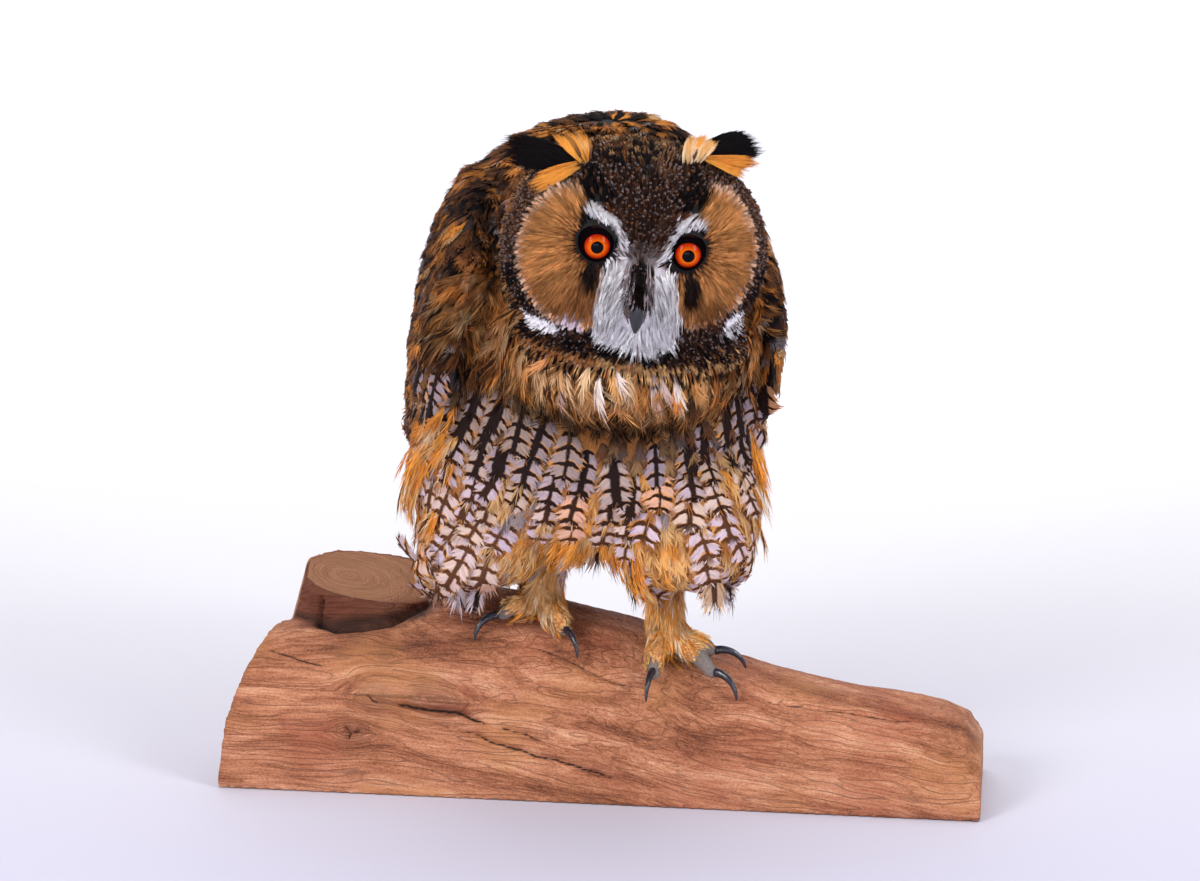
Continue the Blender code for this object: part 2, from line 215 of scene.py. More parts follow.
def eased(values, pairs, rounds, share=0.5, hold=None):
    # each value drawn towards the mean of its neighbours
    count = np.bincount(pairs.ravel(), minlength=len(values))[:, None]
    for _ in range(rounds):
        total = np.zeros_like(values)
        for axis in range(values.shape[1]):
            total[:, axis] = sum(np.bincount(pairs[:, i], values[pairs[:, 1 - i], axis], len(values)) for i in (0, 1))
        step = (total / np.maximum(count, 1) - values) * share
        values = values + (step if hold is None else step * (1 - hold[:, None]))
    return values


def largestPart(made):
    # drops what the remesh left loose inside
    mesh = made.data
    pairs, mark = edges(mesh), np.arange(len(mesh.vertices))
    while True:
        low = np.minimum(mark[pairs[:, 0]], mark[pairs[:, 1]])
        new = mark.copy()
        np.minimum.at(new, pairs[:, 0], low)
        np.minimum.at(new, pairs[:, 1], low)
        new = new[new]
        if (new == mark).all():
            break
        mark = new
    keep = mark == np.bincount(mark).argmax()
    if not keep.all():
        form = bmesh.new()
        form.from_mesh(mesh)
        form.verts.ensure_lookup_table()
        bmesh.ops.delete(form, geom=[form.verts[i] for i in np.flatnonzero(~keep)], context="VERTS")
        form.to_mesh(mesh)
        form.free()
    return made


def attribute(mesh, name, values, kind="FLOAT_VECTOR"):
    made = mesh.attributes.new(name, kind, "POINT")
    if kind == "BYTE_COLOR":
        values = np.concatenate([np.clip(values, 0, 1), np.ones((len(values), 1))], axis=1)
    where = "color" if kind == "BYTE_COLOR" else "vector"
    made.data.foreach_set(where, np.ascontiguousarray(values, np.float32).ravel())


# node expressions
class Link:
    # wraps a socket, so that shader maths reads as plain expressions
    def __init__(self, socket):
        self.socket = socket

    def maths(self, operation, first, second=None):
        node = self.socket.id_data.nodes.new("ShaderNodeMath")
        node.operation = operation
        for place, value in enumerate((first, second)):
            if isinstance(value, Link):
                node.id_data.links.new(value.socket, node.inputs[place])
            elif value is not None:
                node.inputs[place].default_value = value
        return Link(node.outputs[0])

    def __add__(self, other):
        return self.maths("ADD", self, other)

    def __sub__(self, other):
        return self.maths("SUBTRACT", self, other)

    def __rsub__(self, other):
        return self.maths("SUBTRACT", other, self)

    def __mul__(self, other):
        return self.maths("MULTIPLY", self, other)

    def __pow__(self, other):
        return self.maths("POWER", self, other)

    def __abs__(self):
        return self.maths("ABSOLUTE", self)

    __radd__, __rmul__ = __add__, __mul__

    def part(self):
        return self.maths("FRACT", self)

    def most(self, other):
        return self.maths("MAXIMUM", self, other)

    def least(self, other):
        return self.maths("MINIMUM", self, other)


class Finish:
    # one material and the nodes it is made of
    def __init__(self, name, **constants):
        self.material = bpy.data.materials.new(name)
        self.material.use_nodes = True
        self.tree = self.material.node_tree
        self.tree.nodes.clear()
        self.out = self.tree.nodes.new("ShaderNodeOutputMaterial")
        self.shader = self.tree.nodes.new("ShaderNodeBsdfPrincipled")
        self.tree.links.new(self.shader.outputs[0], self.out.inputs["Surface"])
        for name, value in constants.items():
            self.shader.inputs[name.replace("_", " ")].default_value = value

    def add(self, kind, settings=None, sockets=None, out=0):
        node = self.tree.nodes.new(kind)
        for name, value in (settings or {}).items():
            if name == "stops":
                ramp = node.color_ramp
                for i, (place, colour) in enumerate(value):
                    stop = ramp.elements[i] if i < 2 else ramp.elements.new(place)
                    stop.position, stop.color = place, (*colour, 1)
            else:
                setattr(node, name, value)
        for name, value in (sockets or {}).items():
            if isinstance(value, Link):
                self.tree.links.new(value.socket, node.inputs[name])
            else:
                node.inputs[name].default_value = value
        return Link(node.outputs[out])

    def read(self, name, out="Color"):
        return self.add("ShaderNodeAttribute", {"attribute_name": name}, out=out)

    def split(self, vector):
        first = self.add("ShaderNodeSeparateXYZ", None, {0: vector})
        return [Link(socket) for socket in first.socket.node.outputs]

    def join(self, x, y, z):
        return self.add("ShaderNodeCombineXYZ", None, {0: x, 1: y, 2: z})

    def step(self, value, low, high):
        settings = {"interpolation_type": "SMOOTHSTEP"}
        return self.add("ShaderNodeMapRange", settings, {"Value": value, "From Min": low, "From Max": high})

    def mix(self, share, a, b):
        colours = [c if isinstance(c, Link) else (*c, 1) for c in (a, b)]
        sockets = {0: share, 6: colours[0], 7: colours[1]}
        return self.add("ShaderNodeMix", {"data_type": "RGBA"}, sockets, out=2)

    def times(self, colour, value):
        grey = self.add("ShaderNodeCombineColor", None, {0: value, 1: value, 2: value})
        return self.add("ShaderNodeMix", {"data_type": "RGBA", "blend_type": "MULTIPLY"},
                        {0: 1.0, 6: colour, 7: grey}, out=2)

    def noise(self, vector, scale, detail=2.0, roughness=0.5, distortion=0.0):
        sockets = {"Vector": vector, "Scale": scale, "Detail": detail, "Roughness": roughness,
                   "Distortion": distortion}
        return self.add("ShaderNodeTexNoise", None, sockets)

    def feed(self, **links):
        for name, value in links.items():
            self.tree.links.new(value.socket, self.shader.inputs[name.replace("_", " ")])

    def bump(self, height, distance, strength=1.0):
        sockets = {"Height": height, "Distance": distance, "Strength": strength}
        self.feed(Normal=self.add("ShaderNodeBump", None, sockets))


# colours of the coat
tones = {
    "black": linear(11, 7, 9),
    "soot": linear(34, 23, 21),
    "umber": linear(74, 48, 36),
    "brown": linear(112, 74, 50),
    "tawny": linear(176, 112, 62),
    "orange": linear(214, 134, 56),
    "bright": linear(232, 156, 66),
    "buff": linear(216, 168, 112),
    "cream": linear(236, 208, 172),
    "lilac": linear(216, 198, 206),
    "white": linear(246, 242, 246),
    "ash": linear(150, 136, 134),
}


# the skin
skinWork = {
    "flesh": ["head", "neck", "trunk", "wing_left", "wing_right", "tail", "thigh_left", "thigh_right",
              "tarsus_left", "tarsus_right"]
    + [f"toe_{side}_{toe}" for side in ("left", "right") for toe in ("hind", "inner", "middle", "outer")],
    "voxel": 1.7 * mm,
    "depth": {"head": 4.2, "neck": 6, "trunk": 6.5, "wing": 3.2, "tail": 1.3, "thigh": 6.5, "tarsus": 2.4,
              "toe": 0.9},
    "passes": 3,
}
eyeAt = {"right": np.array([-18.6, -40, 13.5]), "left": np.array([18.6, -40, 13.5])}
eyeRadius = 7.6
legAt = {"right": (-25, -6), "left": (29, -18)}


def midline(z):
    # the middle of the face wanders a little to the owl's left below the bill
    return np.interp(z, [-60, -30, -16, -6, 5, 16, 30, 60], [3, 2.2, 1.1, 0.4, -0.4, -0.4, 1, 0])


def eyeDistance(h):
    return np.minimum(*[np.linalg.norm(h - eye, axis=1) for eye in eyeAt.values()])


def discShare(h):
    # 1 on the rim of each facial disc
    right = np.hypot((h[:, 0] + 24.5) / 23.5, (h[:, 2] - 4.5) / 28.5)
    left = np.hypot((h[:, 0] - 24.5) / 22.5, (h[:, 2] - 8.5) / 27.5)
    return np.minimum(right, left)


def kdTree(co):
    tree = KDTree(len(co))
    for index, place in enumerate(co):
        tree.insert(place, index)
    tree.balance()
    return tree


def nearest(tree, co):
    return np.array([tree.find(p)[1] for p in co])


def solidLabels(co):
    # which of the frame's flesh solids each point belongs to
    solids = [nodes[name].data for name in skinWork["flesh"]]
    owner = np.repeat(np.arange(len(solids)), [len(mesh.polygons) for mesh in solids])
    tree = treeOf(solids)
    names = [name.split("_")[0] for name in skinWork["flesh"]]
    sides = ["left" in name for name in skinWork["flesh"]]
    found = owner[[tree.find_nearest(p)[2] for p in co]]
    return np.array(names)[found], np.array(sides)[found]


def coatDepth(co, label):
    depth = np.zeros(len(co))
    for name, value in skinWork["depth"].items():
        depth[label == name] = value
    depth[label == "trunk"] -= 3.6 * smooth(co[label == "trunk", 2], 240 * mm,
                                            266 * mm)  # thin on the hump of the back
    h = inFrame(co, headFrame)
    face = (label == "head") & (h[:, 1] < -8)
    depth[face] = np.where(discShare(h)[face] < 1.1, 2.2, 3.4)
    near = eyeDistance(h)
    depth = np.where(face & (near < 14), np.minimum(depth, 1.2 + (near - 7) * 0.14), depth)
    bill = np.hypot(h[:, 0], (h[:, 2] + 4) / 1.6)
    depth = np.where(face & (bill < 12), np.minimum(depth, 1.6), depth)
    return depth


def makeSkin():
    made = copyOf(skinWork["flesh"] + ["eye_left", "eye_right", "bill_upper", "bill_lower"], "skin", 0.45 * mm)
    form = bmesh.new()
    form.from_mesh(made.data)
    core = headFrame @ Matrix.Diagonal((52 * mm, 42 * mm, 42 * mm, 1))  # fills the roots of the tufts
    bmesh.ops.create_icosphere(form, subdivisions=4, radius=1, matrix=core)
    form.to_mesh(made.data)
    form.free()
    remeshed(made, skinWork["voxel"])
    largestPart(made)
    for _ in range(skinWork["passes"]):
        co = points(made.data)
        label, _ = solidLabels(co)
        depth = eased(coatDepth(co, label)[:, None], edges(made.data), 6)
        co -= normals(made.data) * depth * mm / skinWork["passes"]
        setPoints(made.data, co)
        remeshed(made, skinWork["voxel"])
        largestPart(made)
    co = points(made.data)
    label, _ = solidLabels(co)
    toes = (label == "toe").astype(float)
    setPoints(made.data, eased(co, edges(made.data), 4, 0.5, toes * 0.7))
    made.data.shade_smooth()
    print("skin:", len(made.data.vertices), "points")
    return made


skin = makeSkin()
skinCo = points(skin.data)
skinNormal = normals(skin.data)
skinEdges = edges(skin.data)
skinLabel, skinLeft = solidLabels(skinCo)
skinHead = inFrame(skinCo, headFrame)
skinBody = inFrame(skinCo, bodyFrame)
skinTree = kdTree(skinCo)
skinRound = np.abs(np.degrees(np.arctan2(skinBody[:, 0], -(skinBody[:, 1] - 10))))  # degrees round from the breast
isHead, isTrunk, isNeck, isWing, isToe = (skinLabel == name for name in ("head", "trunk", "neck", "wing", "toe"))
isFace = (isHead | isNeck) & (skinHead[:, 1] < -6) & (skinHead[:, 2] > -39)


brows = {
    "right": [(-23.2, 27.6), (-17.8, 26.2), (-11.6, 22.8), (-7.5, 17), (-6.6, 9.6)],
    "left": [(25.6, 25.8), (21, 26.9), (16.2, 25), (12.2, 20.3), (10.2, 14), (7.7, 8.4)],
}


def toLine(places, line):
    # distance from a line of points, and the share of the way along it
    best, share = np.full(len(places), 1e9), np.zeros(len(places))
    line = np.array(line, float)
    for k, (a, b) in enumerate(zip(line, line[1:])):
        t = np.clip(((places - a) @ (b - a)) / ((b - a) @ (b - a)), 0, 1)
        gap = np.linalg.norm(places - a - t[:, None] * (b - a), axis=1)
        nearer = gap < best
        best[nearer] = gap[nearer]
        share[nearer] = ((k + t) / (len(line) - 1))[nearer]
    return best, share


def browLine(h):
    # distance from the nearer brow, and how far in along it
    right, rightShare = toLine(h[:, [0, 2]], brows["right"])
    left, leftShare = toLine(h[:, [0, 2]], brows["left"])
    return np.minimum(right, left), np.where(right < left, rightShare, leftShare)


faceX, faceZ = skinHead[:, 0], skinHead[:, 2]
bodyX, bodyY, bodyZ = skinBody.T
sideways = faceX - midline(faceZ)
faceMiddle = np.abs(sideways)
eyeGap, (browGap, browAlong) = eyeDistance(skinHead), browLine(skinHead)


def maskShare(h):
    # 1 on the outer edge of the white about the bill, less inside it
    x, z = h[:, 0], h[:, 2]
    right = np.interp(z, [-33, -27, -16, -7, 4, 8], [-8, -14.3, -16.2, -14.8, -12.5, -9])
    left = np.interp(z, [-34, -16, -4, 5, 8], [18.4, 18.4, 15.4, 11.3, 8.5])
    middle, half = (right + left) / 2, (left - right) / 2
    return np.maximum(np.abs(x - middle) / half, np.where(z > 8, 1 + (z - 8) / 3, 0)) + np.clip(-29.5 - z, 0, 9) / 6


def spots(co, places):
    # 1 at the middle of the nearest patch of a list of (x, y, z, size) in millimetres, 0 well outside it
    best = np.zeros(len(co))
    for *place, size in places:
        gap = np.linalg.norm(co * 1000 - np.array(place), axis=1) / size
        best = np.maximum(best, np.exp(-((gap / 1.1) ** 2)))
    return best


def flowField():
    # the way the coat lies at every point of the skin
    co, h, b = skinCo, skinHead, skinBody
    side = np.sign(b[:, 0])
    flow = np.zeros_like(co)

    # trunk: hanging in front, swept to the tail behind
    behind = smooth(skinRound, 70, 125) * smooth(b[:, 2], 95, 150)
    splay = np.where(b[:, 0] < 0, 0.0115, 0.0052)  # the owl's right flank spreads more
    hang = columns(b[:, 0] * splay, (b[:, 1] - 10) * 0.003, -1.0)
    sweep = columns(side * 0.05, 0.85, -0.53)
    flow[:] = outOf(blend(unit(hang), unit(sweep), behind), bodyFrame)

    fore = smooth(b[:, 1], 25, -25)
    front = columns(side * 0.42, 0.42, -0.8)
    flow[isWing] = outOf(blend(unit(sweep), unit(front), fore), bodyFrame)[isWing]
    flow[skinLabel == "tail"] = outOf(np.array([[0, 0.93, -0.37]]), bodyFrame)
    flow[skinLabel == "tarsus"] = (0, -0.05, -1)
    for name, (x, y) in legAt.items():
        here = isToe & (skinLeft == (name == "left"))
        flow[here] = unit(columns(co[here, 0] - x * mm, co[here, 1] - y * mm, -0.003))
    flow[isNeck] = outOf(unit(columns(b[:, 0] * 0.007, -0.1, -1.0)), bodyFrame)[isNeck]

    # head: out from each eye over the face, back over the crown
    x, z = faceX, faceZ
    eyeX = np.where(sideways > 0, eyeAt["left"][0], eyeAt["right"][0])
    local = unit(columns(x - eyeX, 0.0, z - 13.5))
    upper = (z > 9) & (faceMiddle < 6 + (z - 9) * 0.95)
    local[upper] = unit(columns(np.sign(sideways) * 0.35, 0.5, 1.0))[upper]
    down = unit(columns(np.clip(sideways / 3, -1, 1) * (0.3 + 0.008 * faceMiddle), -0.1, -1.0))
    local = unit(blend(local, down, smooth(faceMiddle, 17, 9) * smooth(z, 12, 4)))
    brow = browGap < 3.0
    along = unit(columns(np.sign(sideways) * 0.7, 0.1, 0.85))
    fromEye = unit(columns(x - eyeX, h[:, 1] + 40, z - 13.5))
    local[brow] = unit(along + fromEye * smooth(eyeGap, 13, 9)[:, None] * 0.3)[brow]
    local = unit(blend(local, down, smooth(z, -16, -26) * smooth(np.abs(x), 40, 22)))
    crown = columns(x * 0.006, 1.0, 0.15 - 0.012 * (50 - z))
    local = unit(blend(local, unit(crown), smooth(h[:, 1], -24, -4)))
    flow[isHead | isFace] = outOf(local, headFrame)[isHead | isFace]

    flow = eased(flow, skinEdges, 14, 0.6, np.where(isFace, 0.9, 0.0))
    flow -= skinNormal * (flow * skinNormal).sum(1, keepdims=True)
    return unit(flow)


skinFlow = flowField()


def coatColours():
    # three colours at every point of the skin: the ground, the pale marks and the dark marks
    h, b = skinHead, skinBody
    count = len(skinCo)
    rough = cloud(skinCo, 16 * mm, 3)
    fine = cloud(skinCo, 5 * mm, 5)
    ground = np.tile(tones["tawny"], (count, 1))
    pale = np.tile(tones["cream"], (count, 1))
    dark = np.tile(tones["soot"], (count, 1))

    # underside: orange ground with lilac-white marks
    low = isTrunk | (skinLabel == "thigh")
    warm = smooth(rough, 0.35, 0.65)
    ground[low] = blend(tones["buff"], tones["orange"], warm)[low]
    pale[low] = blend(tones["lilac"], tones["cream"], smooth(fine, 0.5, 0.8))[low]
    dark[low] = tones["umber"] * 0.8

    # back and wings: dark, clouded, with orange patches
    upper = isWing | (isTrunk & ((skinRound > 95) | (b[:, 2] > 232)))
    top = blend(tones["umber"], tones["black"], smooth(fine, 0.4, 0.62))
    ground[upper] = blend(top, tones["orange"], smooth(rough, 0.56, 0.68))[upper]
    pale[upper] = blend(tones["buff"], tones["orange"], smooth(fine, 0.3, 0.7))[upper]
    dark[upper] = tones["black"]

    ground[isNeck] = blend(tones["buff"], tones["tawny"], warm)[isNeck]
    pale[isNeck], dark[isNeck] = tones["cream"], tones["soot"]
    tail, legs = skinLabel == "tail", (skinLabel == "tarsus") | isToe
    ground[tail], dark[tail] = blend(tones["buff"], tones["ash"], 0.35), tones["umber"]
    ground[legs] = blend(linear(255, 156, 72), linear(255, 184, 108), smooth(fine, 0.3, 0.7))[legs]
    pale[legs] = linear(255, 206, 142)

    # the head
    x, z, middle, near, off = faceX, faceZ, faceMiddle, eyeGap, browGap
    disc, mask = discShare(h), maskShare(h)
    patchy = cloud(skinCo, 9 * mm, 8)
    crown = blend(tones["black"], tones["brown"], smooth(patchy, 0.56, 0.68))
    crown = blend(crown, tones["soot"], smooth(fine, 0.45, 0.65) * 0.7)
    hood = blend(tones["umber"], tones["brown"], smooth(patchy, 0.4, 0.6))
    hood = blend(hood, tones["tawny"], smooth(patchy, 0.6, 0.72))
    side = smooth(np.abs(x), 40, 50) * smooth(z, 36, 20)
    head = blend(crown, hood, side)
    tip = blend(tones["brown"], tones["buff"], smooth(fine, 0.35, 0.6))

    def lay(colour, share, tipColour=None):
        nonlocal head, tip
        head = blend(head, colour, share)
        tip = blend(tip, colour if tipColour is None else tipColour, share)

    def blot(places):
        best = np.zeros(count)
        for cx, cz, wide, high in places:
            away = np.hypot((x - cx) / wide, (z - cz) / high) + (fine - 0.5) * 0.5
            best = np.maximum(best, smooth(away, 1.15, 0.7))
        return best

    front = smooth(h[:, 1], -2, -12)
    ruffBand = np.maximum(front * smooth(disc, 1.36, 1.26), smooth(z, -26, -32)) * smooth(disc, 0.96, 1.02)
    lay(blend(tones["black"], tones["umber"], 0.5 * smooth(fine, 0.4, 0.6)), ruffBand, tones["ash"])
    lay(blend(tones["umber"], tones["brown"], 0.5), ruffBand * smooth(z, -8, 6) * 0.45, tones["lilac"])
    orange = blend(linear(158, 92, 44), linear(204, 132, 70), smooth(near, 14, 25))
    lay(orange, front * smooth(disc, 1.02, 0.97), linear(208, 146, 88))
    lay(linear(222, 186, 160), front * smooth(disc, 0.93, 0.99) * smooth(disc, 1.03, 1.0) * 0.7)
    lay(linear(84, 46, 24), front * smooth(near, 18, 9) * 0.85 * smooth(disc, 1.0, 0.9), linear(130, 78, 42))
    lay(linear(138, 78, 42), front * smooth(z, -2, -22) * smooth(disc, 0.95, 0.8) * 0.5, linear(186, 120, 72))
    lay(linear(110, 62, 34), front * blot([(-19, -12, 9, 8), (31, -14, 7, 8)]) * 0.5)
    lay(tones["black"], front * blot([(-21, 33, 6, 6), (-24.5, 22, 4, 8), (-15, 31, 5, 4), (-26, 12, 3.5, 7),
                                      (20, 33, 5.5, 6), (24.5, 21, 3.5, 5), (15, 31, 5, 4), (25.5, 14, 3, 6)]))
    vee = smooth(z, 10, 14) * smooth(z, 41, 35) * smooth(middle - (z - 8) * 0.75, 3, 0)
    lay(blend(tones["black"], tones["umber"], 0.4), front * vee * 0.9, tones["ash"])
    lay(tones["black"], front * blot([(-21, 34, 6, 6.5), (-16, 32, 4, 3), (20, 34, 5.5, 6.5), (15.5, 32, 4, 3)]))
    lay(tones["soot"], front * blot([(-19.5, -3, 4.6, 7), (-13, 3, 3, 4), (22.5, -5, 4.4, 9), (16, 4, 3, 4)]))
    lay(tones["black"], front * smooth(near, 12.5, 10))
    grey = front * smooth(middle, 10.5, 7.5) * smooth(z, -6, 2) * smooth(z, 18, 12)
    lay(blend(tones["ash"], tones["soot"], 0.35), grey, tones["ash"])
    lay(tones["umber"], front * smooth(middle, 2.6, 1.2) * smooth(z, -6, 2) * smooth(z, 18, 12), tones["umber"])
    white = blend(blend(tones["ash"], tones["soot"], 0.6), tones["white"] * 1.15, smooth(middle, 3, 6.5))
    white = blend(white, tones["white"] * 1.15, smooth(z, -8, -14))
    white = blend(white, tones["ash"], smooth(z, 2, 9) * 0.6)
    lay(white, front * smooth(mask, 1.06, 0.96), blend(white, tones["white"], 0.3))
    lay(tones["white"] * 0.92, front * smooth(off, 1.6, 0.9), tones["white"])
    lay(tones["white"], smooth(h[:, 1], 2, -8) * blot([(-34.5, -28.5, 7, 4.6), (-38, -30, 4, 4),
                                                       (42.5, -20.5, 4.6, 6.5)]))
    lay(tones["lilac"], front * blot([(-24.5, -22.5, 5, 1.8)]))
    lay(tones["black"], smooth(h[:, 1], 6, -4) * blot([(-49, -12, 3.5, 9), (-46, -24, 4, 8), (-42, -36, 5, 3),
                                                       (50.5, -4, 3.5, 9),
                                                      (47.5, -14, 3, 5), (47, -27, 4, 4)]), tones["black"])
    painted = isHead | isFace
    ground[painted], pale[painted] = head[painted], tip[painted]
    dark[painted] = tones["black"]
    return ground, pale, dark


groundTone, paleTone, darkTone = coatColours()


def makePlumage(name, roughness=0.72):
    # u runs from the root of a feather to its tip, v from edge to edge
    f = Finish(name, Specular_IOR_Level=0.06)
    u, v, seed = f.split(f.read("lie", "Vector"))
    streak, bars, mottle = f.split(f.read("pattern", "Vector"))
    across = abs(v)
    wobble = f.noise(f.join(u * 5, v * 1.6, seed * 41), 1.0, 2.0) - 0.5
    ragged = f.noise(f.join(u * 24, v * 9, seed * 19), 1.0, 3.0, 0.6) - 0.5
    barbs = f.noise(f.join((u - across * 0.3) * 38, across * 1.6, seed * 17), 1.0, 3.0, 0.65)
    hasBars = f.step(bars, 0.2, 0.8)
    along = bars * (u - across * across * 0.15 + wobble * 0.15)
    ring = abs(along.part() - 0.5)  # 0 in the middle of a bar
    thick = 0.155 - across * 0.1
    bar = (1 - f.step(ring + ragged * 0.2 - thick, 0.0, 0.06))
    bar = bar * (1 - f.step(across + wobble * 0.7, 0.6, 1.0)) * hasBars
    half = streak * (f.step(u, 0.0, 0.4) * 0.5 + 0.5) * (bar * 0.6 + 1 + wobble * 0.8)
    shaft = (1 - f.step(across - half + ragged * 0.16, -0.05, 0.07)) * f.step(streak, 0.0, 0.05)
    after = (along + 0.5).part()  # grows from one bar to the next
    rounded = after + (across - 0.42) ** 2 * 1.3 + ragged * 0.3 + wobble * 0.3
    patch = f.step(after + ragged * 0.16, 0.12, 0.22) * (1 - f.step(rounded, 0.74, 0.92))
    patch = patch * (1 - f.step(across + ragged * 0.2, 0.84, 1.0)) * hasBars
    tipFrom = 0.3 - bars.least(0.15) * 0.6
    patch = patch + f.step(u + wobble * 0.25 - tipFrom, 0.0, 0.25) * (1 - hasBars)
    speck = f.noise(f.join(u * 16, v * 7, seed * 23), 1.0, 2.0, 0.6)
    specks = f.step(speck + mottle * 0.5, 0.66, 0.76) * f.step(mottle, 0.0, 0.1)
    colour = f.mix(patch, f.read("ground"), f.read("pale"))
    colour = f.mix(shaft.most(bar).most(specks), colour, f.read("mark"))
    # barb texture, and darker towards the root: the grey down there, and painted shade between the feathers
    shade = (0.55 + barbs * 0.9) * (0.58 + 0.42 * f.step(u, 0.0, 0.35))
    f.feed(Base_Color=f.times(colour, shade), Roughness=barbs * 0.3 + (roughness - 0.15))
    f.bump(barbs, 0.00025, 0.5)
    return f.material


plumage = makePlumage("plumage")


def makeSkinFinish():
    f = Finish("skin under the coat", Specular_IOR_Level=0.25)
    place = f.add("ShaderNodeTexCoord", out="Object")
    grain = f.noise(place, 900.0, 3.0, 0.6)
    f.feed(Base_Color=f.times(f.read("tint"), grain * 0.9 + 0.4), Roughness=grain * 0.2 + 0.6)
    f.bump(grain, 0.0006, 0.6)
    return f.material


# bare grey pads show at the ends of the toes
reachOut = np.zeros(len(skinCo))
for name, (x, y) in legAt.items():
    here = skinLeft == (name == "left")
    reachOut[here] = np.hypot(skinCo[here, 0] * 1000 - x, skinCo[here, 1] * 1000 - y)
isLeg = (skinLabel == "tarsus") | (skinLabel == "toe")
padShare = np.maximum(smooth(reachOut, 16, 19), smooth(skinNormal[:, 2], -0.2, -0.6)) * (skinLabel == "toe")
# the skin under the coat takes a darker copy of the coat's colours: the darker down deep in the coat, and painted
# shade between the feathers
tint = blend(groundTone, darkTone, np.where(isHead, 0.0, np.where(isLeg, 0.1, 0.35))) * 0.8
tint = blend(tint, linear(128, 118, 112), padShare)
attribute(skin.data, "tint", tint, "BYTE_COLOR")
fitted(skin, "feathers_light", makeSkinFinish(), *skinWork["flesh"])
print("skin ready")


def scattered(mask, spacing, seed, extra=4):
    # points spread evenly over the skin where the mask holds, with the nearest skin point of each
    skin.data.calc_loop_triangles()
    tris = listed(skin.data.loop_triangles, "vertices", 3, np.int64)
    tris = tris[mask[tris].all(axis=1)]
    a, b, c = (skinCo[tris[:, i]] for i in range(3))
    area = np.linalg.norm(np.cross(b - a, c - a), axis=1) / 2
    gap = np.broadcast_to(spacing, len(skinCo))[tris].mean(axis=1) * mm
    wanted = area / gap**2 * extra
    draw = np.random.default_rng(seed)
    count = int(wanted.sum())
    pick = draw.choice(len(tris), count, p=wanted / wanted.sum())
    s, t = draw.random(count), draw.random(count)
    fold = s + t > 1
    s[fold], t[fold] = 1 - s[fold], 1 - t[fold]
    co = a[pick] + (b - a)[pick] * s[:, None] + (c - a)[pick] * t[:, None]
    reach = gap[pick]
    tree = kdTree(co)
    alive, chosen = np.ones(count, bool), []
    for i in range(count):
        if alive[i]:
            chosen.append(i)
            for _, j, _ in tree.find_range(co[i], reach[i]):
                alive[j] = False
    co = co[chosen]
    return co, nearest(skinTree, co)


# what a feather is unless its own piece says otherwise; lengths in millimetres, angles in degrees
feather = {
    "spread": 0.12, "reach": 0.26, "fill": 1.7, "blunt": 0.6, "peak": 1.5, "camber": 0.25, "layer": 0.12,  # form
    "root": -0.6, "lift": 3.0, "rise": 0.8, "ragged": 0.18, "steps": 5, "cling": 1.0, "stray": 8, "curl": 0,
    "hang": 0.0,  # lie
    "loose": 0.05, "fluff": 0.25,  # wear
    "lengthOver": 1.0, "widthOver": 1.0, "liftOver": 1.0,  # changes over the piece
}


def laidShafts(co, near, length, spec, draw):
    # each shaft leaves its root and creeps over the skin with the lie of the coat
    count, steps, cling, turn = len(co), spec["steps"], spec["cling"], math.radians(spec["stray"])
    place = co.copy()
    normal = skinNormal[near]
    ahead = skinFlow[near]
    angle = draw.normal(0, turn, count)[:, None]
    ahead = unit(ahead * np.cos(angle) + np.cross(normal, ahead) * np.sin(angle))
    bend = draw.normal(0, math.radians(spec["curl"]), count)[:, None]
    path, rise = [place], [normal]
    step = (length / (steps - 1))[:, None]
    for _ in range(1, steps):
        free = place + ahead * step
        near = nearest(skinTree, free)
        n = skinNormal[near]
        gap = ((free - skinCo[near]) * n).sum(1, keepdims=True)
        free = free - n * gap * np.where(gap < 0, 1.0, cling)
        normal = unit(normal * (1 - 0.6 * max(cling, 0.3)) + n * 0.6 * max(cling, 0.3))
        ahead = unit(free - place) * 0.5 + skinFlow[near] * 0.5 * cling + ahead * 0.5 * (1 - cling)
        fall = np.array([0, 0, -1]) * np.reshape(spec["hang"], (-1, 1))
        ahead = unit(ahead) + fall + np.cross(normal, unit(ahead)) * np.tan(bend)
        ahead = unit(ahead - normal * (ahead * normal).sum(1, keepdims=True) * cling)
        place = free
        path.append(place)
        rise.append(normal)
    return np.stack(path, axis=1), np.stack(rise, axis=1)


def vaneForm(barbs, reach, fill, blunt, peak):
    # one flat feather as overlapping barbs: rows of (u, share of half width, layer, barb, tip)
    rows, faces = [], []
    for sign in (-1, 1):
        for i in range(barbs):
            share = i / (barbs - 1)
            start = (1 - 0.8 * reach) * share
            end = min(start + reach * (1 - 0.15 * share), 1.0)
            wide = math.sin(math.pi * min(end, 0.9999) ** peak) ** blunt
            if share > 0.999:
                wide = 0.02
            broad = fill / barbs
            base, barb, bend = len(rows), i + (barbs if sign > 0 else 0), start + (end - start) * 0.45
            rows += [(start, 0.0, 0.0, barb, 0.0), (start + broad, 0.0, 0.4, barb, 0.0),
                     (bend, sign * wide * 0.6, 0.0, barb, 0.5),
                     (bend + broad * 0.9, sign * wide * 0.54, 1.0, barb, 0.5), (end, sign * wide, 0.5, barb, 1.0)]
            strip = [(0, 1, 3), (0, 3, 2), (2, 3, 4)]
            faces += [tuple(base + k for k in (tri if sign < 0 else tri[::-1])) for tri in strip]
    return np.array(rows), np.array(faces)


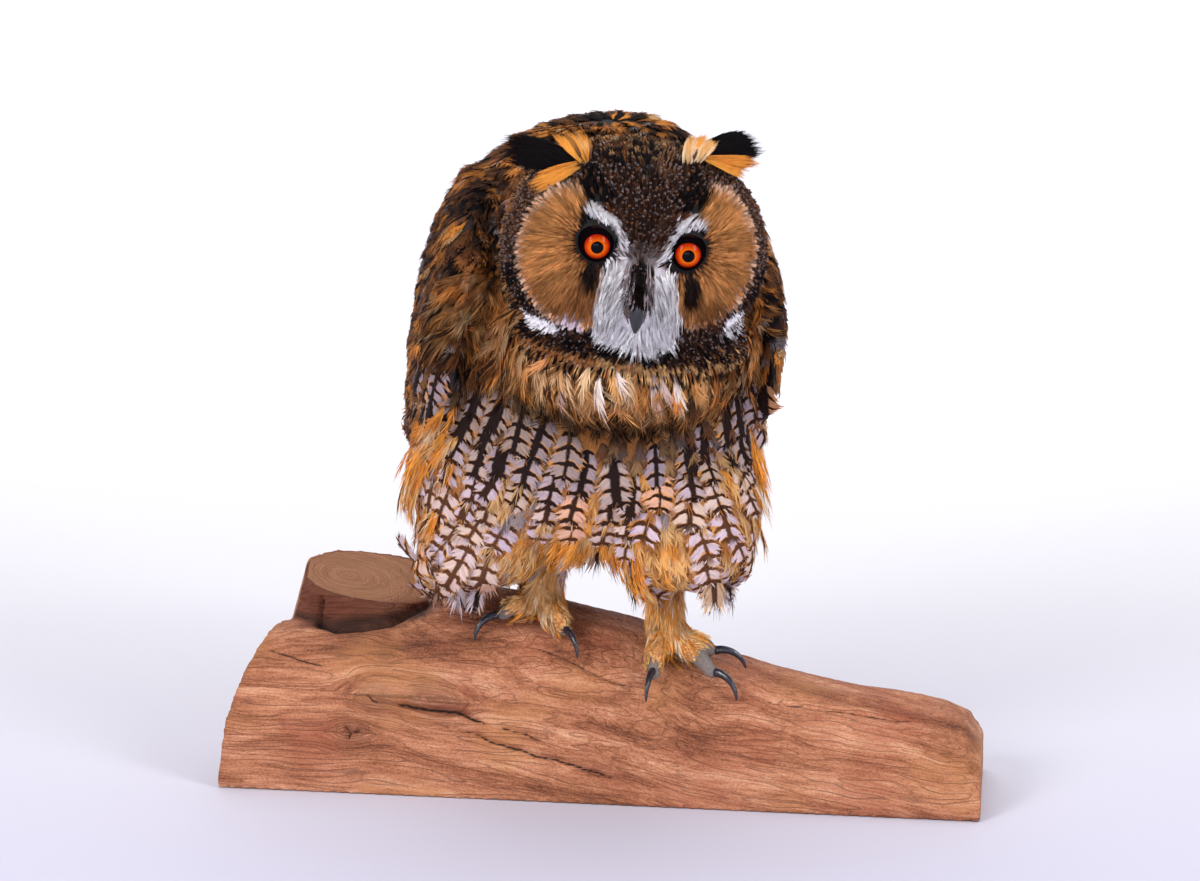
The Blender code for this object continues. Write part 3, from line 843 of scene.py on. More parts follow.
def usedCells(home, cells=300):
    # a cell of its own on the unwrap for each feather, as near its home as there is room
    taken, found = set(), np.zeros((len(home), 2))
    spiral = sorted(((x, y) for x in range(-24, 25) for y in range(-24, 25)), key=lambda s: s[0] ** 2 + s[1] ** 2)
    for i, (u, v) in enumerate(home):
        cu, cv = int(u * cells), int(v * cells)
        for dx, dy in spiral:
            spot = (min(max(cu + dx, 0), cells - 1), min(max(cv + dy, 0), cells - 1))
            if spot not in taken:
                break
        taken.add(spot)
        found[i] = spot
    return found / cells


def unwrapHome(co):
    # the skin rolled out: head, trunk, wings, tail and legs each in a field of its own
    near = nearest(skinTree, co)
    label, left = skinLabel[near], skinLeft[near]
    h, b = inFrame(co, headFrame), inFrame(co, bodyFrame)
    home = np.zeros((len(co), 2))
    fields = {
        "head": (0.0, 0.55, 0.42, 0.45), "neck": (0.0, 0.44, 0.42, 0.1), "trunk": (0.44, 0.44, 0.56, 0.56),
        "thigh": (0.0, 0.22, 0.42, 0.2), "tarsus": (0.0, 0.0, 0.3, 0.1), "toe": (0.0, 0.11, 0.3, 0.1),
        "wing": (0.44, 0.0, 0.56, 0.42), "tail": (0.31, 0.0, 0.12, 0.2),
    }
    turnHead = np.arctan2(h[:, 0], -h[:, 1]) / (2 * math.pi) + 0.5
    turnBody = np.arctan2(b[:, 0], -(b[:, 1] - 10)) / (2 * math.pi) + 0.5
    for name, (x, y, wide, high) in fields.items():
        here = label == name
        if name in ("head", "neck"):
            s, t = turnHead, (h[:, 2] + (50 if name == "head" else 90)) / (100 if name == "head" else 90)
        elif name == "trunk":
            s, t = turnBody, (b[:, 2] - 95) / 210
        elif name in ("thigh", "tarsus", "toe"):
            x0 = np.where(left, legAt["left"][0], legAt["right"][0])
            y0 = np.where(left, legAt["left"][1], legAt["right"][1])
            around = np.arctan2(co[:, 0] * 1000 - x0, -(co[:, 1] * 1000 - y0)) / (2 * math.pi) + 0.5
            s = around / 2 + left * 0.5
            t = (co[:, 2] * 1000 - 40) / 130
            if name == "toe":
                t = np.hypot(co[:, 0] * 1000 - x0, co[:, 1] * 1000 - y0) / 34
        else:
            s = (b[:, 1] + 50) / 280 / 2 + left * 0.5
            t = (b[:, 2] - 90) / 190
        home[here, 0] = (x + np.clip(s, 0, 1) * wide)[here]
        home[here, 1] = (y + np.clip(t, 0, 1) * high)[here]
    return home


coatPieces = []
mostTriangles = 192000  # in one piece of the coat
patchSize = 0.003  # of one feather on the unwrap


def feathered(name, co, near, spec, colours, slot="feathers_light", shafts=None, seed=1):
    # builds one coat piece, or several if it would be too heavy
    draw, count, spec = np.random.default_rng(seed), len(co), {**feather, **spec}
    length = spec["length"] * mm * draw.normal(1, spec["spread"], count).clip(0.6, 1.5)
    length = length * spec["lengthOver"]
    width = spec["width"] * mm / 2 * draw.normal(1, 0.1, count).clip(0.7, 1.3) * spec["widthOver"]
    path, rise = shafts or laidShafts(co, near, length, spec, draw)
    steps = path.shape[1]
    level = np.linspace(0, 1, steps)[None, :, None]
    root, over = (np.broadcast_to(spec[key], count)[:, None, None] for key in ("root", "liftOver"))
    depth = root * mm + (spec["lift"] * mm) * level ** spec["rise"]
    tall = draw.normal(1, spec["ragged"], count)[:, None, None] * over
    path = path + rise * (root * mm + (depth - root * mm) * tall)
    ahead = unit(np.gradient(path, axis=1))
    across = unit(np.cross(ahead, rise))
    rise = unit(np.cross(across, ahead))

    rows, faces = vaneForm(*(spec[key] for key in ("barbs", "reach", "fill", "blunt", "peak")))
    u0, v0, layer, barb, tip = rows.T
    barb = barb.astype(int)
    shifts = [draw.normal(0, most, (count, barb.max() + 1))[:, barb] * tip
              for most in (spec["loose"], spec["loose"] * 3, spec["fluff"] * mm)]
    u = np.clip(u0 + shifts[0], 0, 1.06)
    v = v0 * (1 + shifts[1])
    at = u * (steps - 1)
    low = np.minimum(at.astype(int), steps - 2)
    share, who = (at - low)[..., None], np.arange(count)[:, None]
    centre, out, high = (way[who, low] * (1 - share) + way[who, low + 1] * share for way in (path, across, rise))
    half = width[:, None]
    z = -spec["camber"] * v**2 * half + layer * spec["layer"] * mm + shifts[2]
    verts = centre + out * (v * half)[..., None] + high * z[..., None]

    perPiece = max(int(mostTriangles // len(faces)), 1)
    colours = {key: np.broadcast_to(value, (count, 3)) for key, value in colours.items()}
    home = usedCells(unwrapHome(co))
    pieces = math.ceil(count / perPiece)
    order = np.argsort(co[:, 0], kind="stable") if pieces > 1 else np.arange(count)
    for k in range(pieces):
        group = order[k * count // pieces:(k + 1) * count // pieces]
        label = name if pieces == 1 else f"{name}_{k + 1}"
        n, rowsCount = len(group), len(rows)
        mesh = bpy.data.meshes.new(label)
        mesh.vertices.add(n * rowsCount)
        mesh.vertices.foreach_set("co", verts[group].astype(np.float32).ravel())
        tris = (faces[None] + np.arange(n)[:, None, None] * rowsCount).reshape(-1, 3)
        mesh.loops.add(tris.size)
        mesh.loops.foreach_set("vertex_index", tris.astype(np.int32).ravel())
        mesh.polygons.add(len(tris))
        mesh.polygons.foreach_set("loop_start", np.arange(0, tris.size, 3, dtype=np.int32))
        mesh.update(calc_edges=True)
        seeds = np.broadcast_to(draw.random(n)[:, None], (n, rowsCount))
        lie = np.stack([u[group], v[group], seeds], axis=2)
        attribute(mesh, "lie", lie.reshape(-1, 3))
        for key in ("ground", "pale", "mark"):
            attribute(mesh, key, np.repeat(colours[key][group], rowsCount, axis=0), "BYTE_COLOR")
        attribute(mesh, "pattern", np.repeat(colours["pattern"][group], rowsCount, axis=0))
        patch = home[group][:, None, :] + np.stack([u[group] * 0.9 + 0.05, v[group] * 0.45 + 0.5], axis=2) * patchSize
        bakeMap = mesh.uv_layers.new(name="OFBake")
        bakeMap.data.foreach_set("uv", np.ascontiguousarray(patch.reshape(-1, 2)[tris.ravel()], np.float32).ravel())
        coatPieces.append(fitted(newObject(label, mesh), slot, plumage))
        print("coat:", label, n, "feathers,", len(tris), "triangles")


def colourSet(near, ground=None, pale=None, pattern=(0, 0, 0), vary=0.1, seed=1):
    # the skin's own colours, or those given, a little brighter or darker from feather to feather
    bright = np.random.default_rng(seed).normal(1, vary, len(near))[:, None].clip(0.6, 1.4)
    ground = groundTone[near] if ground is None else ground
    pale = paleTone[near] if pale is None else pale
    return {"ground": ground * bright, "pale": pale * bright, "mark": darkTone[near] * bright,
            "pattern": np.array(pattern)}


def bed(mask, spacing, seed):
    # the roots of one piece, with their count and a generator of their own
    co, near = scattered(mask, spacing, seed)
    return co, near, len(co), np.random.default_rng(seed + 1)


def pickTone(count, draw, **shares):
    # a random tone for each feather, by share
    names = list(shares)
    odds = np.array([shares[name] for name in names], float)
    pick = draw.choice(len(names), count, p=odds / odds.sum())
    return np.array([tones[name] for name in names])[pick]


# the belly and the skirt: columns of feathers that hang one over another

orangeSpots = [
    (-69, -48, 173, 13), (-81, -24, 163, 9), (-73, -37, 133, 11), (-76, -31, 122, 9), (-55, -51, 137, 7),
    (-30, -53, 122, 7), (-4, -63, 154, 8), (-6, -59, 139, 9), (-11, -57, 130, 9), (24, -56, 151, 8),
    (28, -58, 123, 8), (24, -58, 114, 6), (57, -37, 152, 6), (55, -50, 137, 6), (71, -12, 155, 11),
    (72, -7, 138, 10), (68, -38, 130, 7), (-44, -60, 170, 6), (-63, -34, 256, 8), (-73, -48, 206, 8),
    (-82, -15, 182, 8), (79, -24, 200, 9), (81, -14, 186, 8),
]
darkSpots = [(-70, -53, 214, 12), (-75, -40, 205, 10), (-64, -41, 249, 9), (-59, -20, 269, 12), (-52, 17, 280, 12),
             (79, -23, 221, 11)]
fluffSpots = [(2, -46, 116, 10), (-8, -50, 124, 9), (12, -48, 118, 8)]
skirt = {
    "columnGap": 9.2,
    "rowGap": 11.8,
    "vane": {"length": 24, "width": 15.5, "spread": 0.03, "barbs": 28, "reach": 0.28, "fill": 2.4, "lift": 6.4,
             "rise": 0.75, "cling": 0.6, "curl": 3, "loose": 0.03, "fluff": 0.3, "blunt": 0.42, "peak": 1.8,
             "steps": 6, "camber": 0.3, "hang": 0.12},
    "hem": {"length": 24, "width": 10, "barbs": 20, "reach": 0.4, "lift": 1.5, "cling": 0.0, "hang": 1.1, "stray": 7,
            "loose": 0.06, "fluff": 0.4, "steps": 6, "fill": 1.3},
}
creaseHeight = np.interp(bodyX, [-95, -73, -61, -38, -13, 9, 30, 51, 66, 80],
                         [194, 190, 182, 173, 169, 168, 172, 178, 182, 186])
belowCrease = creaseHeight - bodyZ
isUnder, foreWing = np.isin(skinLabel, ("trunk", "thigh")), isWing & (bodyY < -22)
isBelly = isUnder | foreWing
isBelly &= (belowCrease > -15) & (skinRound < 120) & (bodyZ > 94)  # the columns start hidden under the bib


def hangingColumns():
    # each column follows the lie of the coat down from the crease, and a new one starts where two draw apart
    draw = np.random.default_rng(11)
    gap, step = skirt["columnGap"] * mm, 1.6 * mm
    seeds = np.flatnonzero(isBelly)
    seeds = seeds[np.argsort(-skinCo[seeds, 2] + draw.normal(0, 1 * mm, len(seeds)))]
    taken, found, homes = np.zeros((0, 3)), [], []
    for seed in seeds:
        place = skinCo[seed]
        if len(taken) and (((taken - place) ** 2).sum(1).min() < gap**2):
            continue
        line, near, run = [], seed, draw.uniform(0, skirt["rowGap"]) * mm
        while isBelly[near] and len(line) < 90:
            if len(taken) and ((taken - place) ** 2).sum(1).min() < (0.62 * gap) ** 2:
                break
            line.append(place)
            run += step
            if run > skirt["rowGap"] * mm:
                run -= skirt["rowGap"] * mm
                found.append(place)
                homes.append(near)
            place = place + skinFlow[near] * step
            near = skinTree.find(place)[1]
            place = place - skinNormal[near] * ((place - skinCo[near]) @ skinNormal[near])
        if line:
            taken = np.concatenate([taken, np.array(line)])
    return np.array(found), np.array(homes)


co, near = hangingColumns()
draw = np.random.default_rng(12)
count = len(co)
below = belowCrease[near]
warm = spots(co, orangeSpots) + 0.35 * smooth(cloud(co, 13 * mm, 33), 0.55, 0.75)
colours = colourSet(near, seed=13, vary=0.1)
colours["ground"] = blend(linear(180, 128, 88), linear(206, 140, 72), smooth(cloud(co, 15 * mm, 21), 0.4, 0.65))
pale = blend(linear(196, 176, 190), linear(208, 180, 162), draw.random(count))
isWarm = warm > draw.uniform(0.3, 0.6, count)
# the top rows darken towards the crease in pale, marks and streaks: darker marks there, and painted shade under the
# edge of the bib
pale = pale * (1 - 0.5 * smooth(below, 26, 0))[:, None]
colours["pale"] = np.where(isWarm[:, None], blend(pale, tones["bright"], 0.5), pale)
colours["ground"] = np.where(isWarm[:, None], blend(colours["ground"], tones["orange"], 0.6), colours["ground"])
colours["mark"] = blend(linear(34, 22, 20), linear(88, 54, 36), smooth(below, 8, 45))
streak = np.where(isWarm & (draw.random(count) < 0.5), 0.05, draw.normal(0.13, 0.05, count).clip(0.05, 0.28))
streak = streak + (0.05 + 0.2 * (draw.random(count) < 0.4)) * smooth(below, 20, 4)
colours["pattern"] = columns(streak, draw.normal(4.07, 0.04, count), 0.04)
low = (bodyZ[near] < 98) | (isTrunk[near] & (skinNormal[near, 2] < -0.45))
for x, y in legAt.values():  # the legs come out from under the skirt in orange
    low |= (np.abs(co[:, 0] * 1000 - x + 1) < 12) & (co[:, 2] < 130 * mm) & (co[:, 1] < -15 * mm)
colours = {key: value[~low] for key, value in colours.items()}
hang = 0.12 + 0.35 * smooth(co[:, 2], 122 * mm, 102 * mm) * smooth(co[:, 0], -72 * mm, -50 * mm)
flare = 1 + 1.1 * smooth(co[:, 0], -42 * mm, -68 * mm) * smooth(co[:, 2], 138 * mm, 110 * mm)
hanging = {**skirt["vane"], "hang": hang[~low], "liftOver": flare[~low]}
feathered("belly_feathers", co[~low], near[~low], hanging, colours, seed=14)

# the hem: longer, looser feathers with silvery vanes and dark shafts
edge = isUnder & (bodyZ < 113) & (bodyZ > 93) & (skinRound < 150)
atLeg = (skinCo[:, 1] < 0) & np.any([np.abs(skinCo[:, 0] * 1000 - x) < 15 for x, y in legAt.values()], axis=0)
edge &= ~atLeg
co, near, count, draw = bed(edge, 9, 31)
colours = colourSet(near, seed=33, vary=0.1)
silver = smooth(co[:, 0] * -1000, 8, 40) * 0.55
colours["ground"] = blend(pickTone(count, draw, buff=3, orange=3, tawny=1), tones["ash"], silver)
colours["pale"] = blend(pickTone(count, draw, lilac=3, buff=3, tawny=2), tones["ash"], 0.5)
colours["mark"] = pickTone(count, draw, soot=2, umber=3)
dark = draw.random(count) < 0.5
streak = np.where(dark, draw.normal(0.3, 0.08, count).clip(0.15, 0.5), 0.0)
colours["pattern"] = columns(streak, np.where(dark, draw.normal(1.8, 0.2, count), -0.3), 0.0)
feathered("hem_feathers", co, near, skirt["hem"], colours, seed=34)

# soft locks between and under the columns
fluff = {"length": 22, "width": 6.5, "barbs": 9, "reach": 0.45, "fill": 1.2, "lift": 4.4, "cling": 0.6, "stray": 13,
         "loose": 0.08, "fluff": 0.5, "blunt": 0.7}
under = (isUnder & (belowCrease > 1) & (bodyZ > 92)) | (foreWing & (belowCrease > -4))
co, near, count, draw = bed(under, 4.4, 41)
colours = colourSet(near, seed=43)
share = smooth(spots(co, orangeSpots + fluffSpots) + 0.3 * (cloud(co, 12 * mm, 48) - 0.5), 0.15, 0.45)
colours["ground"] = blend(linear(168, 126, 96), tones["orange"], share)
pale = pickTone(count, draw, ash=1, buff=3, tawny=2) * 0.85
colours["pale"] = blend(pale, blend(tones["bright"], tones["buff"], draw.random(count)), share)
# darker towards the crease: painted shade under the bib
dusk = smooth(belowCrease[near], 22, 4) * 0.8
for key in ("ground", "pale"):
    colours[key] = blend(colours[key], blend(tones["soot"], tones["umber"], draw.random(count)), dusk)
fluff["lengthOver"] = 0.5 + 0.5 * smooth(belowCrease[near], 2, 20)
feathered("under_plumes", co, near, fluff, colours, seed=44)

# long hair-like plumes on the orange flanks and between the legs
flank = {"length": 30, "width": 5, "barbs": 12, "reach": 0.5, "fill": 0.9, "lift": 9.5, "rise": 1.0, "cling": 0.35,
         "stray": 16, "loose": 0.08, "fluff": 0.8, "steps": 6, "blunt": 0.8}
share = spots(skinCo, [orangeSpots[i] for i in (0, 1, 2, 3, 14, 15)] + fluffSpots
              + [(74, 8, 168, 14), (-82, -10, 150, 10)])
co, near, count, draw = bed((share > 0.35) & (isBelly | under), 3.4, 45)
ground = pickTone(count, draw, orange=4, bright=2, buff=2)
colours = colourSet(near, ground, pickTone(count, draw, orange=3, bright=3, buff=3, cream=1), seed=47)
colours["pattern"] = columns(np.where(draw.random(count) < 0.1, 0.3, 0.0), 0.0, 0.0)
feathered("flank_plumes", co, near, flank, colours, slot="feathers_buff", seed=48)

# the thighs' soft orange plumes, running out from under the skirt onto the legs
thighSpec = {"length": 17, "width": 2.6, "barbs": 7, "reach": 0.6, "fill": 0.9, "lift": 3.4, "rise": 0.9,
             "cling": 0.5, "stray": 12, "loose": 0.08, "fluff": 0.5, "blunt": 0.8, "hang": 0.3}
onThigh = atLeg & (isUnder | (skinLabel == "tarsus")) & (skinCo[:, 2] < 132 * mm) & (skinCo[:, 2] > 66 * mm)
co, near, count, draw = bed(onThigh, 2.2, 141)
ground = pickTone(count, draw, bright=3, orange=3, tawny=1)
colours = colourSet(near, ground, pickTone(count, draw, bright=3, buff=2, cream=1), seed=143)
feathered("thigh_plumes", co, near, thighSpec, colours, slot="feathers_buff", seed=144)

# the bib below the face: black at the crease, then orange and buff, then pale loops under the chin
bib = {"length": 19, "width": 4.6, "barbs": 13, "reach": 0.5, "fill": 1.1, "lift": 7.0, "cling": 0.8, "stray": 20,
       "curl": 11, "spread": 0.2, "loose": 0.09, "fluff": 0.8, "steps": 6, "blunt": 0.75, "ragged": 0.3}
# where the tip of a feather of the bib comes to lie
seenBelow = belowCrease[nearest(skinTree, skinCo + skinFlow * 17 * mm)]
onBib = (isNeck & ~isFace) | (isTrunk & (bodyZ < 238) & (skinRound < 84))
onBib |= isWing & (bodyY < -40) & (bodyZ < 240) & (bodyX < 56)
onBib &= (seenBelow < 2) & (belowCrease < -4)
co, near, count, draw = bed(onBib, 2.0, 51)
overCrease = -seenBelow[near] + draw.normal(0, 2.0, count)
side = smooth(np.abs(bodyX[near] + 8), 28, 42)
warmth, dusk = cloud(co, 9 * mm, 55), cloud(co, 8 * mm, 56)
tone = blend(blend(tones["tawny"], tones["orange"], smooth(warmth, 0.35, 0.6)), tones["buff"],
             smooth(dusk, 0.45, 0.7))
tone = blend(tone, blend(tones["umber"], tones["soot"], 0.4), smooth(dusk, 0.46, 0.36))
tone = blend(tone, pickTone(count, draw, orange=4, bright=1, tawny=2, buff=2, soot=3, black=3), 0.55)
loops = smooth(overCrease, 13, 17) * (0.15 + 0.85 * smooth(cloud(co, 9 * mm, 57), 0.4, 0.52)) * (1 - side)
tone = blend(tone, pickTone(count, draw, cream=6, white=1, lilac=2, buff=4), loops)
tone = blend(tone, pickTone(count, draw, black=6, soot=2), smooth(overCrease, 12, 8))
hood = blend(blend(tones["brown"] * 0.8, tones["soot"], smooth(warmth, 0.56, 0.44)), tones["tawny"],
             smooth(dusk, 0.56, 0.66))
hood = blend(hood, pickTone(count, draw, brown=1, umber=2, tawny=2, orange=1, soot=2, black=5), 0.7)
tone = blend(tone, hood, side)
tone = blend(tone, tones["black"], smooth(spots(co, darkSpots), 0.3, 0.5) * 0.9)
tone = blend(tone, pickTone(count, draw, orange=2, buff=3, tawny=2, brown=1, soot=2),
             0.1 * smooth(overCrease, 1, 7) + 0.05)
tipTone = blend(tone, pickTone(count, draw, buff=3, cream=2, orange=2, brown=2),
                0.15 * smooth(overCrease, 1, 7) + 0.05)
warm, tint = spots(co, orangeSpots)[:, None] > 0.4, np.array([1.06, 0.98, 0.85])
ground = np.where(warm, tones["orange"], tone * tint)
colours = colourSet(near, ground, np.where(warm, tones["bright"], tipTone * tint), seed=53)
dark = draw.random(count) < np.where(overCrease > 14, 0.2, 0.6)
colours["mark"] = blend(colours["ground"], tones["black"], draw.uniform(0.4, 1, count))
colours["pattern"] = columns(np.where(dark, draw.normal(0.35, 0.12, count).clip(0.15, 0.8), 0.0), -0.1, 0.0)
feathered("bib_feathers", co, near, bib, colours, seed=54)

# short dark points along the lower edge of the ruff
fringe = {"length": 8.5, "width": 2.2, "barbs": 8, "reach": 0.5, "fill": 1.0, "lift": 5.0, "cling": 0.6, "stray": 12,
          "spread": 0.2, "loose": 0.07, "fluff": 0.5, "blunt": 0.9, "peak": 1.2}
lowEdge = np.interp(faceX, [-50, -38, -20, 0, 20, 36, 50], [-30, -38, -41, -41, -40.5, -37, -28])
onFringe = (isFace | isNeck) & (np.abs(faceZ - lowEdge) < 2.6) & (skinHead[:, 1] < 0) & (np.abs(faceX) < 48)
co, near, count, draw = bed(onFringe, 1.7, 161)
ground = pickTone(count, draw, buff=3, tawny=3, brown=2, soot=2)
colours = colourSet(near, ground, pickTone(count, draw, black=5, soot=3, umber=2, tawny=1), seed=163)
colours["mark"] = tones["black"]
colours["pattern"] = columns(draw.normal(0.3, 0.15, count).clip(0.05, 0.7), -0.25, 0.0)
feathered("fringe_feathers", co, near, fringe, colours, slot="feathers_dark", seed=164)

# back, shoulders and wing coverts
mantle = {"length": 15, "width": 8, "barbs": 15, "reach": 0.42, "fill": 1.5, "lift": 3.4, "stray": 11, "loose": 0.06,
          "fluff": 0.35, "peak": 1.6}
onBack = isWing | (isTrunk & ((skinRound > 84) | (bodyZ > 228)))
onBack &= ~(isBelly & (belowCrease > -9)) & (bodyZ > 118)
co, near, count, draw = bed(onBack, np.where(bodyZ > 243, 2.6, 3.4), 61)
colours = colourSet(near, seed=63)
warm, black = spots(co, orangeSpots), spots(co, darkSpots)
patch, dusky = cloud(co, 10 * mm, 64) + 0.3 * warm, cloud(co, 10 * mm, 67) + 0.35 * black - 0.2 * warm
tone = blend(tones["umber"], tones["brown"], smooth(cloud(co, 12 * mm, 69), 0.4, 0.65))
tone = blend(tone, tones["black"], smooth(dusky, 0.39, 0.45))
tone = blend(tone, pickTone(count, draw, orange=5, tawny=2, buff=2), smooth(patch - 0.35 * black, 0.58, 0.63))
tone = blend(tone, pickTone(count, draw, black=5, soot=2, tawny=1, brown=2), 0.22)
colours["ground"] = tone
colours["pale"] = blend(tone, pickTone(count, draw, tawny=3, brown=4, umber=3, orange=1, ash=1), 0.45)
colours["mark"] = tones["black"]
streak = np.where(draw.random(count) < 0.3, draw.normal(0.3, 0.1, count).clip(0.1, 0.6), 0.0)
colours["pattern"] = columns(streak, -0.3, draw.normal(0.2, 0.1, count).clip(0, 0.4))
root = -0.6 + 0.9 * smooth(co[:, 2], 240 * mm, 268 * mm)
feathered("back_feathers", co, near, {**mantle, "root": root}, colours, slot="feathers_dark", seed=65)


# the head

crown = {"length": 8.5, "width": 3.0, "barbs": 8, "reach": 0.45, "lift": 3.8, "stray": 11, "steps": 4}
seen = nearest(skinTree, skinCo + skinFlow * 3 * mm)
seenFar = nearest(skinTree, skinCo + skinFlow * 6 * mm)
disc, discFar, mask = discShare(skinHead[seen]), discShare(skinHead[seenFar]), maskShare(skinHead[seenFar])
onBill = (faceMiddle < 5) & (faceZ < -7) & (skinHead[:, 1] < -45)
onBrow = isFace & (browGap < np.interp(browAlong, [0.1, 0.5, 1],
                                       [0.5, 1.1, 1.4])) & (eyeGap > 9.8) & (browAlong > 0.05)
onWhite = isFace & (mask < 1.0) & ~onBrow & (eyeGap > 9.4) & ~onBill & ((faceMiddle > 5) | (faceZ < -12))
onForehead = isFace & (faceZ > 2) & (faceMiddle < 4 + (faceZ - 9) * 0.75) & (faceZ < 40) & ~onWhite & ~onBrow
inDisc = isFace & ((faceMiddle > 7) | (faceZ > 6)) & (discFar < 1.0) & ~onWhite & ~onBrow & ~onForehead
aboveBill = isFace & (faceMiddle < 5.5) & (faceZ > -13) & (faceZ < 3)
inRuff = isFace & ~aboveBill & ((disc < 1.3) | (faceZ < -26)) & ~onWhite & ~onBrow & ~onForehead & ~inDisc & ~onBill
onCrown = isHead & ~(inDisc | inRuff | onForehead | onWhite | onBrow | onBill)
co, near, count, draw = bed(onCrown, 1.9, 71)
colours = colourSet(near, seed=73, vary=0.18)
colours["ground"] = blend(groundTone[seen[near]], pickTone(count, draw, soot=4, black=4, brown=2, tawny=1), 0.35)
colours["pale"] = blend(paleTone[near], pickTone(count, draw, brown=3, umber=3, soot=3, tawny=1, ash=1), 0.6)
colours["pattern"] = columns(draw.normal(0.1, 0.1, count).clip(0, 0.4), -0.5,
                             draw.normal(0.3, 0.1, count).clip(0, 0.5))
feathered("crown_feathers", co, near, crown, colours, slot="feathers_dark", seed=74)

ruff = {"length": 3.8, "width": 1.25, "barbs": 4, "reach": 0.4, "lift": 3.2, "stray": 22, "loose": 0.06, "fluff": 0.2,
        "steps": 3}
co, near, count, draw = bed(inRuff | onForehead, 0.85, 81)
colours = colourSet(near, pattern=(0, -0.79, 0), seed=83)
base = groundTone[seen[near]]
plain = base.sum(1) < tones["black"].sum() * 1.15
pied = base.sum(1) > tones["buff"].sum()  # the white corners of the face
colours["ground"] = np.where(pied[:, None], base, blend(pickTone(count, draw, black=6, soot=3, brown=1), base, 0.6))
upper = smooth(faceZ[near], -12, 0)
grizzled = ~pied & (draw.random(count) < np.where(plain, 0.06, 0.45 + 0.25 * upper))
hoary = blend(pickTone(count, draw, ash=6, brown=2, tawny=1, umber=1), tones["umber"], 0.2)
colours["pale"] = np.where(grizzled[:, None], hoary, colours["ground"])
feathered("ruff_feathers", co, near, ruff, colours, slot="feathers_dark", seed=84)

discSpec = {"length": 9, "width": 1.15, "barbs": 4, "reach": 0.7, "fill": 0.9, "lift": 2.8, "stray": 6, "loose": 0.07,
            "steps": 4, "blunt": 0.8}
co, near, count, draw = bed(inDisc & (eyeGap > 7.6), 0.8, 91)
colours = colourSet(seenFar[near], seed=93, vary=0.2)
angle = np.arctan2(faceZ[near] - 13.5, np.abs(faceX[near]) - 18.6)
rays = cloud(columns(angle * 9, eyeGap[near] * 0.06, np.sign(faceX[near]) * 5), 0.9, 95)
ember = smooth(rays, 0.35, 0.7)[:, None]
colours["ground"] = colours["ground"] * (0.62 + 0.6 * ember)
colours["pale"] = colours["pale"] * (0.7 + 0.45 * ember)
lengthOver = np.interp(eyeGap[near], [8, 11, 16], [0.35, 0.6, 1.0])
feathered("disc_feathers", co, near, {**discSpec, "lengthOver": lengthOver}, colours, slot="feathers_buff", seed=94)

whiteSpec = {"length": 11, "width": 1.0, "barbs": 4, "reach": 0.75, "fill": 0.9, "lift": 4.4, "stray": 9,
             "loose": 0.08, "fluff": 0.4, "blunt": 0.9, "cling": 0.9}
co, near = scattered(onWhite | onBrow, 0.8, 101)
colours = colourSet(seenFar[near], seed=103, vary=0.06)
draw = np.random.default_rng(104)
sooty = onBrow[near] & (draw.random(len(near)) < 0.3)
streaked = ~onBrow[near] & (draw.random(len(near)) < np.interp(faceZ[near], [-34, -14, 5], [0.03, 0.08, 0.25]))
for key in ("ground", "pale"):
    brow = np.where(sooty[:, None], tones["ash"] * 0.6, tones["white"])
    colours[key] = np.where(onBrow[near][:, None], brow, colours[key])
    colours[key] = np.where(streaked[:, None], blend(colours[key], tones["ash"] * 0.6, 0.7), colours[key])
lengthOver = np.where(onBrow[near], 0.5, np.interp(faceZ[near], [-30, -5, 6], [0.9, 0.9, 0.5]))
feathered("white_face_feathers", co, near, {**whiteSpec, "lengthOver": lengthOver}, colours, seed=104)


def bristleShafts():
    # dark hairs that start above the bill and lie over its upper part
    tree = treeOf([skin.data, nodes["bill_upper"].data], headFrame)
    draw = np.random.default_rng(151)
    paths, sides = [], []
    for _ in range(620):
        side = draw.uniform(-1, 1)
        x, z = side * 5.6, draw.uniform(-3, 11) - abs(side) * 2
        length = min(draw.uniform(6, 10), z + 4.5 + abs(side) * 3.5 + draw.normal(0, 1.0))
        if length < 3:
            continue
        line = []
        for t in np.linspace(0, 1, 6):
            at = (x + midline(z) + side * t * 1.2, z - t * length)
            hit = tree.ray_cast(Vector((at[0] * mm, -0.09, at[1] * mm)), Vector((0, 1, 0)))[0]
            line.append((at[0] * mm, hit[1] - (0.3 + 0.9 * t) * mm, at[1] * mm))
        paths.append([headFrame @ Vector(place) for place in line])
        sides.append(abs(side))
    paths = np.array(paths)
    ways = np.broadcast_to(unit(outOf(np.array([[0, -1.0, 0.1]]), headFrame)), paths.shape).copy()
    return paths, ways, np.array(sides)


paths, ways, sides = bristleShafts()
near = nearest(skinTree, paths[:, 0])
draw = np.random.default_rng(152)
inMiddle = sides[:, None] < 0.45 + draw.normal(0, 0.12, (len(near), 1))
tone = np.where(inMiddle, pickTone(len(near), draw, soot=3, black=4),
                pickTone(len(near), draw, ash=3, lilac=2, soot=1))
bristle = {"length": 8, "width": 0.7, "barbs": 3, "reach": 0.8, "lift": 0.0, "root": 0.0, "fluff": 0.15}
feathered("bristles", paths[:, 0], near, bristle, colourSet(near, tone, tone, seed=153), slot="feathers_dark",
          shafts=(paths, ways), seed=154)


# legs and feet

legSpec = {"length": 8, "width": 1.4, "barbs": 4, "reach": 0.7, "fill": 1.0, "lift": 2.0, "loose": 0.07, "fluff": 0.3,
           "steps": 4, "blunt": 0.8}
co, near = scattered(isLeg & (padShare < 0.5), 1.0, 111)
colours = colourSet(near, seed=113, vary=0.1)
lengthOver = np.where(skinLabel[near] == "toe", 0.55, 1.0)
feathered("leg_feathers", co, near, {**legSpec, "lengthOver": lengthOver}, colours, slot="feathers_buff", seed=114)


# tail and flight feathers

